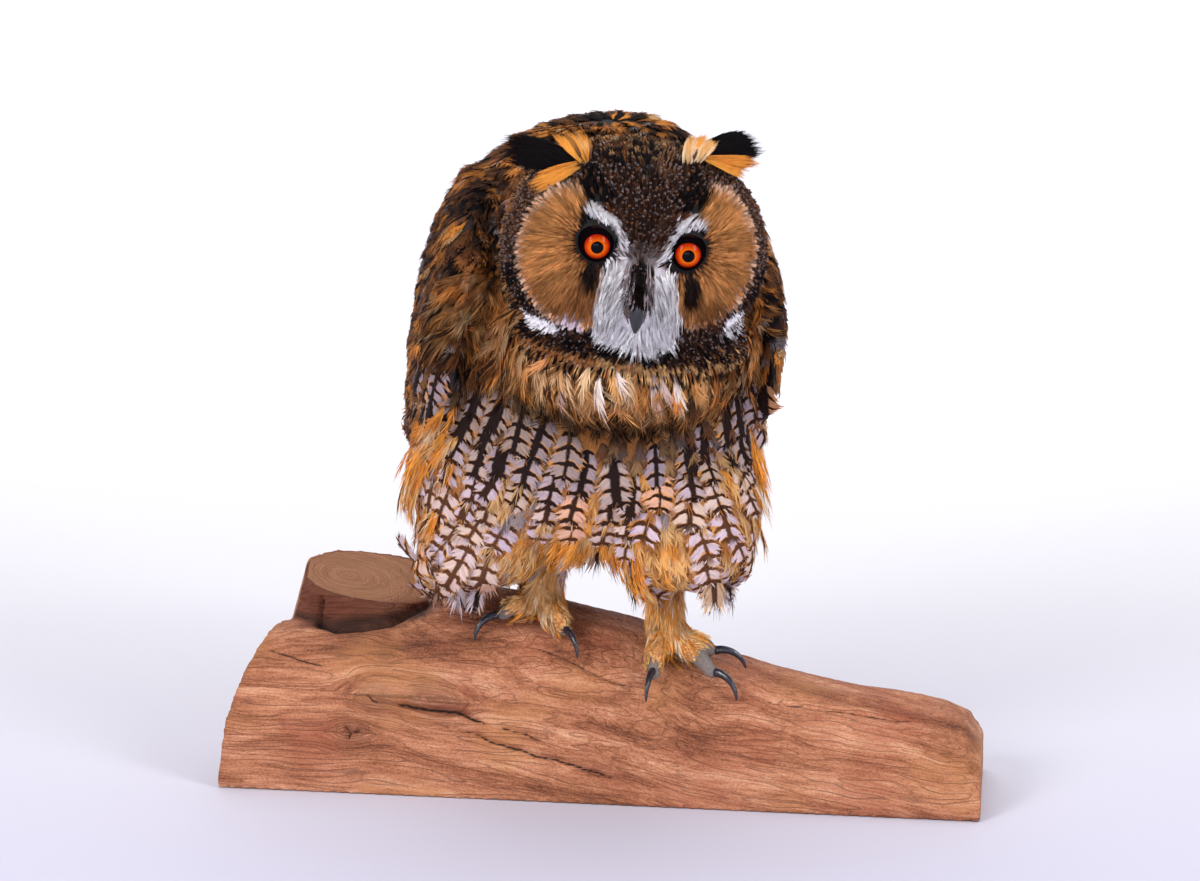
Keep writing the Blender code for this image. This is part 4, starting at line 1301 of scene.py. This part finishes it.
flight = {"length": 90, "width": 15, "barbs": 90, "reach": 0.07, "fill": 1.8, "lift": 0.0, "loose": 0.006,
          "fluff": 0.08, "blunt": 0.3, "peak": 2.4, "camber": 0.12, "layer": 0.1, "spread": 0.0, "ragged": 0.0}


def through(places, count=12):
    # evenly spread points on a smooth curve through a few places
    p = np.array(places, float)
    t = np.linspace(0, len(p) - 1, count)
    i = np.minimum(t.astype(int), len(p) - 2)
    f = (t - i)[:, None]
    m = np.gradient(p, axis=0)
    a, b = p[i], p[i + 1]
    leaving, reaching = (f**3 - 2 * f**2 + f) * m[i], (f**3 - f**2) * m[i + 1]
    return (2 * f**3 - 3 * f**2 + 1) * a + leaving + (3 * f**2 - 2 * f**3) * b + reaching


chain = columns(np.arange(11), np.arange(1, 12))  # twelve points in a row


def onSolid(name, places):
    # the places moved out to the surface of one of the frame's solids, with the way out
    tree = treeOf([nodes[name].data])
    found = [tree.find_nearest(place)[:2] for place in places]
    return tuple(np.array(values) for values in zip(*found))


def flightShafts():
    paths, rises, kinds = [], [], []
    lowEdge = {0.3: (75, 14, 156), 0.5: (66, 84, 139), 0.7: (41, 127, 130), 0.85: (27, 172, 119), 1.0: (12, 219, 103)}
    highEdge = {0.3: (53, 38, 277), 0.5: (24, 100, 226), 0.7: (12, 146, 172), 0.85: (8, 180, 138), 1.0: (9, 216, 107)}
    stations = sorted(lowEdge)
    for side in ("right", "left"):
        sign = 1 if side == "left" else -1
        for j in range(13):
            level = 0.06 + 0.82 * j / 12
            end = 1.0 - 0.34 * max(j - 2, 0) / 10
            start = 0.34 + 0.012 * j
            line = []
            for s in np.linspace(start, end, 12):
                low, top = (np.array([np.interp(s, stations, [edge[k][a] for k in stations]) for a in range(3)])
                            for edge in (lowEdge, highEdge))
                fan = level + (0.5 - level) * 0.25 * smooth(np.array(s), 0.75, 1.0)
                place = low * (1 - fan) + top * fan
                line.append(bodyFrame @ (Vector((sign * (place[0] + 12), place[1], place[2])) * mm))
            spots, ways = onSolid("wing_" + side, line)
            away = outOf(np.array([[sign, 0, 0.25]]), bodyFrame)
            ways = unit(ways + away * 0.7)
            ways = eased(ways, chain, 4)
            paths.append(eased(spots, chain, 2) + ways * (0.2 + 0.16 * j) * mm)
            rises.append(unit(ways))
            kinds.append(j)
    return np.array(paths), np.array(rises), np.array(kinds)


paths, rises, kinds = flightShafts()
near = nearest(skinTree, paths[:, 4])
draw = np.random.default_rng(121)
colours = colourSet(near, seed=122, vary=0.05)
outer = (kinds < 6)[:, None]
colours["ground"] = np.where(outer, blend(tones["tawny"], tones["buff"], 0.5),
                             blend(tones["brown"], tones["ash"], 0.3))
colours["pale"] = np.where(outer, tones["buff"], blend(tones["tawny"], tones["ash"], 0.4))
colours["mark"] = tones["soot"]
colours["pattern"] = columns(0.05, draw.normal(9, 0.5, len(paths)), 0.28)
feathered("flight_feathers", paths[:, 2], near, flight, colours, slot="feathers_dark", shafts=(paths, rises),
          seed=123)


def tailShafts():
    paths, rises = [], []
    for j in range(12):
        place = (j % 2 * 2 - 1) * (j // 2 + 0.5) / 6  # from the middle out, left and right by turns
        line = []
        for back, height, half in ((66, 172, 14), (100, 162, 18), (140, 139, 21), (185, 113, 24), (217, 96, 20)):
            line.append(bodyFrame @ (Vector((place * half, back - abs(place) * 7, height + 4)) * mm))
        path, ways = onSolid("tail", through(line))
        ways = eased(unit(ways + outOf(np.array([[0, 0.35, 0.9]]), bodyFrame)), chain, 6)
        path[-2:] += unit(path[-1] - path[-3]) * np.array([[2.5], [6]]) * mm
        paths.append(path + unit(ways) * (0.1 + 1.6 * (1 - abs(place))) * mm)
        rises.append(unit(ways))
    return np.array(paths), np.array(rises)


paths, rises = tailShafts()
near = nearest(skinTree, paths[:, 2])
colours = colourSet(near, blend(tones["tawny"], tones["ash"], 0.35), pattern=(0.05, 9.5, 0.3), seed=131, vary=0.04)
colours["pale"], colours["mark"] = blend(tones["buff"], tones["ash"], 0.3), tones["umber"]
feathered("tail_feathers", paths[:, 2], near, flight, colours, slot="feathers_dark", shafts=(paths, rises), seed=132)


# ear tufts

# each fan of blades: how many, their tone, then the two ends of the line of roots, of bends and of tips
tuftFans = [
    (34, "dark", (-10, -86, 283.5), (-9, -84, 286), (-25, -79, 282), (-24, -74, 294), (-46, -62, 286),
     (-42, -60, 295.5)),
    (30, "bright", (-8, -86, 284), (-4, -84, 285), (-13, -79, 291), (-4, -77, 291), (-22, -72, 297.5),
     (-5, -70, 297)),
    (20, "low", (-8, -88, 282.5), (-9, -87, 285), (-18, -91, 277), (-20, -89, 281.5), (-29, -86, 270),
     (-33, -84, 277)),
    (34, "dark", (42, -82, 286), (41, -78, 291), (56, -73, 286), (55, -70, 296.5), (72, -60, 287), (66, -61, 295.5)),
    (30, "pale", (35, -84, 283.5), (41, -83, 284.5), (35, -78, 291), (44, -78, 290), (38, -71, 297), (52, -71, 295)),
    (20, "low", (43, -83, 285.5), (44, -80, 287), (55, -79, 281.5), (58, -75, 286.5), (60, -74, 276.5),
     (72, -62, 285)),
]


def tuftShafts():
    paths, rises, kinds = [], [], []
    draw = np.random.default_rng(141)
    for many, kind, *ends in tuftFans:
        ends = np.array(ends, float)
        for k in range(many):
            share = (k * 0.618) % 1
            start, middle, end = (ends[i] + (ends[i + 1] - ends[i]) * share + draw.normal(0, 0.4, 3)
                                  for i in (0, 2, 4))
            end = start + (end - start) * draw.uniform(0.7, 1.02)
            t = np.linspace(0, 1, 8)[:, None]
            path = (1 - t) ** 2 * start + 2 * t * (1 - t) * middle + t * t * end
            path[:, 1] -= k / many * 2.5 * np.sin(np.pi * np.clip(t[:, 0] + 0.1, 0, 1)) + (0.5 if kind == "dark"
                else 2.0)
            paths.append(path * mm)
            rises.append(np.repeat(unit(np.array([[0, -1.0, 0.3]])), 8, axis=0))
            kinds.append(kind)
    return np.array(paths), np.array(rises), np.array(kinds)


paths, rises, kinds = tuftShafts()
count = len(paths)
draw = np.random.default_rng(142)
near = nearest(skinTree, paths[:, 0])
isDark = (kinds == "dark")[:, None]
creamy = pickTone(count, draw, buff=3, cream=3, bright=1)
bright = np.where((kinds == "pale")[:, None], creamy, pickTone(count, draw, bright=4, orange=3, buff=1))
colours = colourSet(near, seed=143, vary=0.06)
bright = np.where(draw.random(count)[:, None] < 0.12, tones["brown"], bright)
colours["ground"] = np.where(isDark, tones["black"], bright)
colours["pale"] = np.where(isDark, tones["black"], blend(bright, tones["bright"], 0.3))
colours["mark"] = tones["black"]
tuft = {"length": 40, "width": 7.5, "barbs": 22, "reach": 0.42, "fill": 1.5, "lift": 0.0, "loose": 0.02, "fluff": 0.2,
        "blunt": 0.55, "spread": 0.0, "ragged": 0.0, "widthOver": np.where(isDark[:, 0], 0.62, 0.36)}
feathered("ear_tufts", paths[:, 0], near, tuft, colours, slot="feathers_dark", shafts=(paths, rises), seed=144)
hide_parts("ear_tuft_left", "ear_tuft_right")


eyeWork = {
    "iris": 5.4,  # reach of the iris from the eye's axis in millimetres
    "pupil": 0.48,  # of the iris
    "bulge": 0.35,
    # the upper tone darkens the top of the iris: painted shade under the brow
    "tones": {"inner": linear(222, 98, 4), "outer": linear(172, 28, 0), "upper": linear(120, 20, 2),
              "rim": linear(30, 8, 4), "pupil": linear(5, 4, 8)},
    # reach and depth of the rolled rim round the eye, all the way round its section
    "rim": [(5.1, -45.2), (5.35, -45.8), (5.7, -46.0), (6.2, -45.6), (6.8, -44.7), (7.3, -43.2), (7.7, -41.0),
            (7.8, -38.0), (6.8, -37.0), (5.2, -41.0)],
}


def makeEyeFinish():
    f = Finish("glass_eye", Roughness=0.4, Specular_IOR_Level=0.0, Coat_Weight=0.2, Coat_Roughness=0.02,
               Coat_IOR=1.45)
    share, angle, rise = f.split(f.read("iris", "Vector"))
    tone, pupil = eyeWork["tones"], eyeWork["pupil"]
    wave = f.noise(f.join(angle * 9, share * 2, 0.0), 1.0, 3.0)
    ring = f.mix(f.step(share, 0.5, 0.95), tone["inner"], tone["outer"])
    # the upper half of the iris drawn towards the upper tone: painted shade under the brow
    ring = f.mix(f.step(rise, -0.1, 0.8) * 0.5, ring, tone["upper"])
    ring = f.times(ring, wave * 0.5 + 0.75)
    ring = f.mix(f.step(share, 0.92, 1.06), ring, tone["rim"])
    f.feed(Base_Color=f.mix(f.step(share, pupil + 0.02, pupil - 0.02), ring, tone["pupil"]))
    return f.material


eyeFinish = makeEyeFinish()


def makeEye(side):
    # a glass eye with a bulging front; iris and pupil are told by the distance from its axis
    form = bmesh.new()
    bmesh.ops.create_uvsphere(form, u_segments=48, v_segments=32, radius=1)
    mesh = meshOf(form, "eyeball_" + side)
    ball = points(mesh)[:, [0, 2, 1]] * np.array([1, -1, 1])  # poles to front and back
    off = np.hypot(ball[:, 0], ball[:, 2]) * eyeRadius
    front = ball[:, 1] < 0
    local = ball * eyeRadius
    local[:, 1] -= np.where(front, eyeWork["bulge"] * (1 - np.clip(off / 6, 0, 1) ** 2), 0)
    local += eyeAt[side]
    place = np.array(headFrame)
    setPoints(mesh, (local * mm) @ place[:3, :3].T + place[:3, 3])
    mesh.flip_normals()
    share = np.where(front, off / eyeWork["iris"], 2.0)
    attribute(mesh, "iris", columns(share, np.arctan2(ball[:, 2], ball[:, 0]), ball[:, 2] / 0.77))
    fitted(newObject("eyeball_" + side, mesh), "glass_eye", eyeFinish, "eye_" + side)


def makeHornFinish(name, tone, edge, roughness):
    f = Finish(name, Coat_Weight=0.3, Coat_Roughness=0.2)
    place = f.add("ShaderNodeTexCoord", out="Object")
    cloudy = f.noise(place, 350.0, 4.0, 0.6)
    streaks = f.noise(place, 1500.0, 3.0, 0.6)
    f.feed(Base_Color=f.times(f.mix(cloudy, tone, edge), streaks * 0.4 + 0.8), Roughness=streaks * 0.2 + roughness)
    f.bump(cloudy, 0.00008, 0.2)
    return f.material


def smoothCopy(names, name, finish, grow=0.0):
    made = copyOf(names, name, grow)
    step = made.modifiers.new("Smooth", "SUBSURF")
    step.levels = step.render_levels = 2
    fitted(applied(made), "horn", finish, *names)


def makeLidFinish():
    f = Finish("eyelid", Specular_IOR_Level=0.0)
    place = f.add("ShaderNodeTexCoord", out="Object")
    folds = f.noise(place, 1400.0, 3.0, 0.6)
    f.feed(Base_Color=f.times(f.mix(folds, linear(5, 3, 4), linear(14, 9, 11)), folds * 0.4 + 0.8),
           Roughness=folds * 0.2 + 0.5)
    f.bump(folds, 0.0003, 0.6)
    return f.material


def makeLid(side, finish):
    # a rolled black rim on the eye that runs out into the skin
    profile, draw = eyeWork["rim"], np.random.default_rng(151)
    form = bmesh.new()
    rings, around = [], 56
    for k in range(around):
        a = 2 * math.pi * k / around
        out = 1 + 0.02 * math.sin(3 * a) + draw.normal(0, 0.006)
        ring = []
        for radius, y in profile:
            upper = 1 - 0.03 * max(math.sin(a), 0)  # the upper lid sits a little lower
            ring.append(form.verts.new((radius * out * math.cos(a), y, radius * out * upper * math.sin(a))))
        rings.append(ring)
    for k in range(around):
        a, b = rings[k], rings[(k + 1) % around]
        for i in range(len(profile)):
            j = (i + 1) % len(profile)
            form.faces.new((a[i], a[j], b[j], b[i]))
    bmesh.ops.recalc_face_normals(form, faces=form.faces)
    eye = eyeAt[side]
    for vert in form.verts:
        vert.co = headFrame @ ((vert.co + Vector((eye[0], 0, eye[2]))) * mm)
    fitted(newObject("eyelid_" + side, meshOf(form, "eyelid_" + side)), "horn", finish)


lidFinish = makeLidFinish()
for side in eyeAt:
    makeEye(side)
    makeLid(side, lidFinish)
billFinish = makeHornFinish("slate bill", linear(13, 13, 17), linear(26, 26, 33), 0.3)
smoothCopy(["bill_upper"], "bill_top", billFinish, 0.25 * mm)
smoothCopy(["bill_lower"], "bill_under", billFinish)
clawFinish = makeHornFinish("black claw", linear(14, 14, 20), linear(40, 42, 54), 0.18)
smoothCopy([name for name in sorted(nodes) if name.startswith("claw_")], "claws", clawFinish, 0.15 * mm)
print("eyes, bill and claws ready")


# the log
logWork = {
    "voxel": 0.95 * mm,
    "cracks": [  # each a line of (along, across, up) with its width and depth, all in millimetres
        ([(-92, -38, 38), (-82, -38.5, 38.7), (-70.6, -39.8, 37.7), (-59, -40.5, 37), (-50, -41.7, 33.6),
          (-43, -41.9, 32.5)], 1.5, 4.0),
        ([(-43, -41.9, 32.5), (-29, -42.5, 29.6), (-18, -43.2, 26.6)], 0.9, 1.8),
        ([(-63, -42.4, 30.4), (-47, -43.5, 26.8), (-33.5, -44.3, 23.5), (-20, -45, 19.7), (-6, -45.5, 16.4),
          (7, -45.9, 13.4), (15, -46.3, 11.2)], 1.15, 2.8),
        ([(-152, -20, 59), (-146, -22.9, 57.4), (-133, -26.3, 55), (-119, -28.7, 52.4)], 1.0, 1.4),
        ([(-28, -24.4, 64.5), (-14, -25.5, 61.6), (0, -29.3, 55.3), (10, -31, 51.5), (24, -31.6, 48.5)], 0.9, 1.4),
        ([(76, -26, 44.2), (93, -24.2, 42.6), (115, -23.6, 40.2), (137, -24.7, 37.7), (166, -17.6, 33.8)], 0.95, 1.8),
        ([(-131.1, 8.2, 82.5), (-130.7, 2.7, 76.6), (-131.2, 0.5, 70), (-130, -2.2, 67.3)], 1.0, 3.0),
        ([(-134, 0, 67), (-130, -2.2, 67.3), (-120, -8, 66.6), (-106, -4.6, 67.8), (-97.5, -1.6, 68.8),
          (-91, 4.8, 69.9), (-84, 13, 73), (-78.5, 24, 77.6)], 3.6, 5.0),
        ([(-106.3, -42.5, 26.3), (-102, -42.5, 27.5)], 0.9, 3.0),
        ([(-106.3, -42.5, 26.3), (-110, -42, 29.5)], 0.9, 3.0),
        ([(-106.3, -42.5, 26.3), (-108, -43, 22.5)], 0.9, 3.0),
        ([(-103, -35, 44), (-97, -37, 40), (-88, -39.5, 37)], 0.8, 1.5),
    ],
    "knots": [((-96, -36.5, 42), 9.0, 1.6), ((-74, -38, 42.5), 9.0, 1.6), ((-62, -39, 41), 7.0, 1.2),
              ((-106.3, -42.5, 26.3), 6.5, 0.8), ((-95, -25, 58), 4.0, 0.5)],
}


def makeLogFinish():
    f = Finish("driftwood", Specular_IOR_Level=0.3)
    along, across, ring = f.split(f.read("grain", "Vector"))
    crack, knot, cut = f.split(f.read("crackShadeKnotCut", "Vector"))
    wander = f.noise(f.join(along * 0.012, across * 0.03, ring * 0.03), 1.0, 2.0)
    fine = f.noise(f.join(along * 0.07, across * 1.1 + wander * 9, ring * 1.1), 1.0, 4.0, 0.7)
    broad = f.noise(f.join(along * 0.012, across * 0.1 + wander * 2.5, ring * 0.1), 1.0, 3.0, 0.55)
    pores = f.noise(f.join(along * 0.9, across * 1.9, ring * 1.9), 1.0, 3.0, 0.65)
    flow = f.noise(f.join(along * 0.006, across * 0.13 + wander * 2.5, ring * 0.13), 1.0, 2.0, 0.5)
    lines = 1 - f.step(abs((flow * 9).part() - 0.5), 0.0, 0.1)
    stops = [(0.15, linear(98, 52, 34)), (0.85, linear(226, 172, 136)), (0.38, linear(152, 92, 62)),
             (0.6, linear(192, 128, 94))]
    colour = f.add("ShaderNodeValToRGB", {"stops": stops}, {0: broad * 1.3 + fine * 0.8 + pores * 0.8 - 0.95})
    patches = f.noise(f.join(along * 0.02, across * 0.03, ring * 0.03), 1.0, 3.0, 0.5)
    colour = f.mix(f.step(patches, 0.5, 0.68) * 0.5, colour, linear(184, 124, 74))
    colour = f.mix(f.step(patches, 0.48, 0.34) * 0.4, colour, linear(160, 84, 60))
    colour = f.mix(lines * f.step(fine, 0.4, 0.55) * 0.55, colour, linear(88, 48, 34))
    colour = f.mix(f.step(pores, 0.6, 0.7) * 0.45, colour, linear(92, 50, 34))
    rings = f.noise(f.join(ring * 0.4 + wander * 10, along * 0.04, across * 0.05), 1.0, 5.0, 0.8)
    sawn = f.mix(f.step(rings + (pores - 0.5) * 0.4, 0.3, 0.7), linear(158, 106, 74), linear(188, 134, 98))
    colour = f.mix(cut, colour, sawn)
    colour = f.mix(knot * 0.35, colour, linear(128, 84, 64))
    wall, shadow, _ = f.split(f.read("wall", "Vector"))
    colour = f.mix(wall, colour, f.mix(fine, linear(72, 32, 20), linear(118, 62, 42)))
    colour = f.mix(shadow, colour, linear(34, 16, 10))
    # the cracks painted near black: painted shade inside them
    colour = f.mix(f.step(crack + (pores - 0.5) * 0.3, 0.3, 0.9), colour, linear(34, 18, 12))
    f.feed(Base_Color=colour, Roughness=0.78 - fine * 0.2)
    f.bump(fine * 0.7 - lines * 0.35 + pores * 0.5, 0.0016, 0.8)
    return f.material


def makeLog():
    made = remeshed(copyOf(["log_base"], "log"), logWork["voxel"])
    largestPart(made)
    mesh = made.data
    co, out = points(mesh), normals(mesh)
    p = inFrame(co, logFrame)
    out = eased(out, edges(mesh), 3)
    n = out @ np.array(logFrame)[:3, :3]
    foot = smooth(p[:, 2], 0.4, 3)
    sawn = smooth(np.abs(n[:, 0]), 0.75, 0.92)
    way = unit(np.array([0.13, -0.34, 0.93]) @ np.array(logFrame)[:3, :3])
    top = smooth(n @ way, 0.93, 0.985) * smooth(p[:, 2], 72, 78)
    top = top * smooth(np.hypot(p[:, 0] + 112, p[:, 1] - 22), 44, 38)
    cut = np.maximum(sawn, top)
    # grain bends round the knots
    grain = p.copy()
    knot = np.zeros(len(p))
    for place, size, height in logWork["knots"]:
        gap = p - np.array(place)
        far = np.linalg.norm(gap * np.array([0.7, 1, 1]), axis=1)
        near = np.exp(-((far / size) ** 2))
        grain[:, 2] -= near * size * 0.9 * np.sign(gap[:, 2] + 1e-6)
        knot = np.maximum(knot, np.exp(-((far / size * 1.4) ** 4)))
        co = co + out * (near * height * mm)[:, None]
    grain[:, 2] += np.interp(p[:, 0], [-170, -100, -50, 0, 50, 100, 170],
                             [0, 0, 4, 12, 24, 32, 38])  # the grain runs down to the right
    lumps = (cloud(p * np.array([0.5, 1, 1]), 16, 71, 3) - 0.5) * 2.6
    ridges = (cloud(grain * np.array([0.08, 1, 1]), 3.2, 72, 2) - 0.5) * 0.9
    fibres = (cloud(grain * np.array([0.1, 1, 1]), 1.5, 73, 1) - 0.5) * 0.35
    shift = (lumps + ridges + fibres) * (1 - 0.8 * cut) + (cloud(p, 2.0, 74) - 0.5) * 0.3
    crack = np.zeros(len(p))
    for line, wide, deep in logWork["cracks"]:
        waver = (cloud(p * np.array([1, 0.3, 0.3]), 7, 75)[:, None] - 0.5) * np.array([0, 0, 2.4])
        gap, share = toLine(p + waver, line)
        taper = np.clip(np.minimum(share, 1 - share) * 6, 0.25, 1)
        well = np.exp(-((gap / (wide * taper)) ** 2))
        # how far each point is painted with the shade inside a crack
        crack = np.maximum(crack, np.exp(-((gap / (wide * taper * 0.62)) ** 2)))
        shift -= well * deep * taper
    co = co + out * (shift * foot * mm)[:, None]
    co[:, 2] = np.maximum(co[:, 2], 0)
    setPoints(mesh, co)
    centre = columns(p[:, 1] + 2, p[:, 2] + 20)
    ring = np.hypot(*centre.T)
    ring = np.where(top > 0.5, np.hypot(p[:, 0] + 122, (p[:, 1] - 20) * 1.5), ring)
    around = np.arctan2(centre[:, 0], centre[:, 1]) * 45 + (grain[:, 2] - p[:, 2])
    attribute(mesh, "grain", columns(grain[:, 0], around, ring))
    # the stump's front wall, and the deep shadow at its foot
    stumpFoot = np.interp(p[:, 0], [-145, -125, -103, -90, -78], [67, 66, 67.5, 69.5, 73])
    wall = smooth(p[:, 0], -150, -144) * smooth(p[:, 0], -74, -84) * smooth(p[:, 2], stumpFoot - 1.5, stumpFoot + 1.5)
    wall = wall * (1 - cut) * smooth(p[:, 1], 26, 18)
    shadow = wall * smooth(p[:, 2], stumpFoot + 5, stumpFoot + 1)
    attribute(mesh, "wall", columns(wall * 0.85, shadow * 0.8, 0.0))
    attribute(mesh, "crackShadeKnotCut", columns(crack, knot, cut))
    fitted(made, "wood", makeLogFinish(), "log_base")
    print("log:", len(mesh.polygons), "faces")


makeLog()


def makeFloor():
    # a wide pale floor that curves up into a wall all round
    form = bmesh.new()
    flat, curve, around, rings = 2.4, 1.1, 96, []
    bend = [(flat + curve * math.sin(a), curve - curve * math.cos(a)) for a in np.linspace(0.15, math.pi / 2, 10)]
    middle = form.verts.new((0, 0, 0))
    turns = [2 * math.pi * k / around for k in range(around)]
    for radius, z in [(1.0, 0.0), (flat, 0.0), *bend, (3.5, 2.2)]:
        rings.append([form.verts.new((radius * math.cos(a), radius * math.sin(a), z)) for a in turns])
    for k in range(around):
        j = (k + 1) % around
        form.faces.new((middle, rings[0][k], rings[0][j]))
        for low, high in zip(rings, rings[1:]):
            form.faces.new((low[k], high[k], high[j], low[j]))
    mesh = meshOf(form, "floor")
    mesh.shade_smooth()
    f = Finish("studio paper", Roughness=0.6, Specular_IOR_Level=0.2)
    place = f.add("ShaderNodeTexCoord", out="Object")
    _, depth, _ = f.split(place)
    # darker in front and lighter behind: painted shade and light over the paper
    shadedPaper = f.mix(f.step(depth + f.noise(place, 2.0) * 0.1, -0.35, 0.5), linear(200, 197, 217), linear(222, 221, 227))
    f.feed(Base_Color=shadedPaper)
    mesh.materials.append(f.material)
    floor = newObject("floor", mesh)
    floor.location.z = -0.0004


def addLight(name, place, aim, size, power):
    light = bpy.data.lights.new(name, "AREA")
    light.shape, light.size, light.size_y = "RECTANGLE", size[0], size[1]
    light.energy = power
    made = bpy.data.objects.new(name, light)
    bpy.context.scene.collection.objects.link(made)
    made.location = place
    made.rotation_mode = "QUATERNION"
    made.rotation_quaternion = (Vector(aim) - Vector(place)).to_track_quat("-Z", "Y")


studio = {
    "lights": {  # where each stands, what it looks at, its width and height in metres, and its watts
        "key left": ((-0.95, -1.05, 0.85), (0, 0, 0.15), (0.5, 0.7), 15),
        "key right": ((1.1, -0.9, 0.85), (0, 0, 0.15), (0.5, 0.7), 13.5),
        "low": ((-0.1, -1.3, 0.1), (0.02, 0, 0.09), (0.8, 0.3), 3.5),
        "top": ((0, 0.6, 1.6), (0, 0.45, 0), (1.6, 1.2), 11),
        "back wash": ((0, 1.6, 1.7), (0, 3.1, 0.1), (3.0, 1.0), 50),
    },
    "around": {"tone": (0.98, 0.98, 1.0, 1), "strength": 0.46},
    "camera": {"lens": 80, "sensor": 36, "tilt": math.radians(9), "distance": 1.2, "aim": (0, 0, 0.155),
               "near": 0.05, "far": 50},
}


def makeStudio():
    makeFloor()
    for name, values in studio["lights"].items():
        addLight(name, *values)
    scene = bpy.context.scene
    world = bpy.data.worlds.new("studio")
    world.use_nodes = True
    for place, value in enumerate(studio["around"].values()):
        world.node_tree.nodes["Background"].inputs[place].default_value = value
    scene.world = world
    scene.view_settings.view_transform = "Standard"
    camera = bpy.data.objects.new("camera", bpy.data.cameras.new("camera"))
    scene.collection.objects.link(camera)
    view = studio["camera"]
    camera.data.lens, camera.data.sensor_width = view["lens"], view["sensor"]
    camera.data.clip_start, camera.data.clip_end = view["near"], view["far"]
    back = Vector((0, -math.cos(view["tilt"]), math.sin(view["tilt"])))
    camera.location = Vector(view["aim"]) + back * view["distance"]
    camera.rotation_mode = "QUATERNION"
    camera.rotation_quaternion = (-back).to_track_quat("-Z", "Y")
    scene.camera = camera


makeStudio()
total = sum(len(piece.data.polygons) for piece in coatPieces)
print("coat in all:", total, "triangles in", len(coatPieces), "pieces")
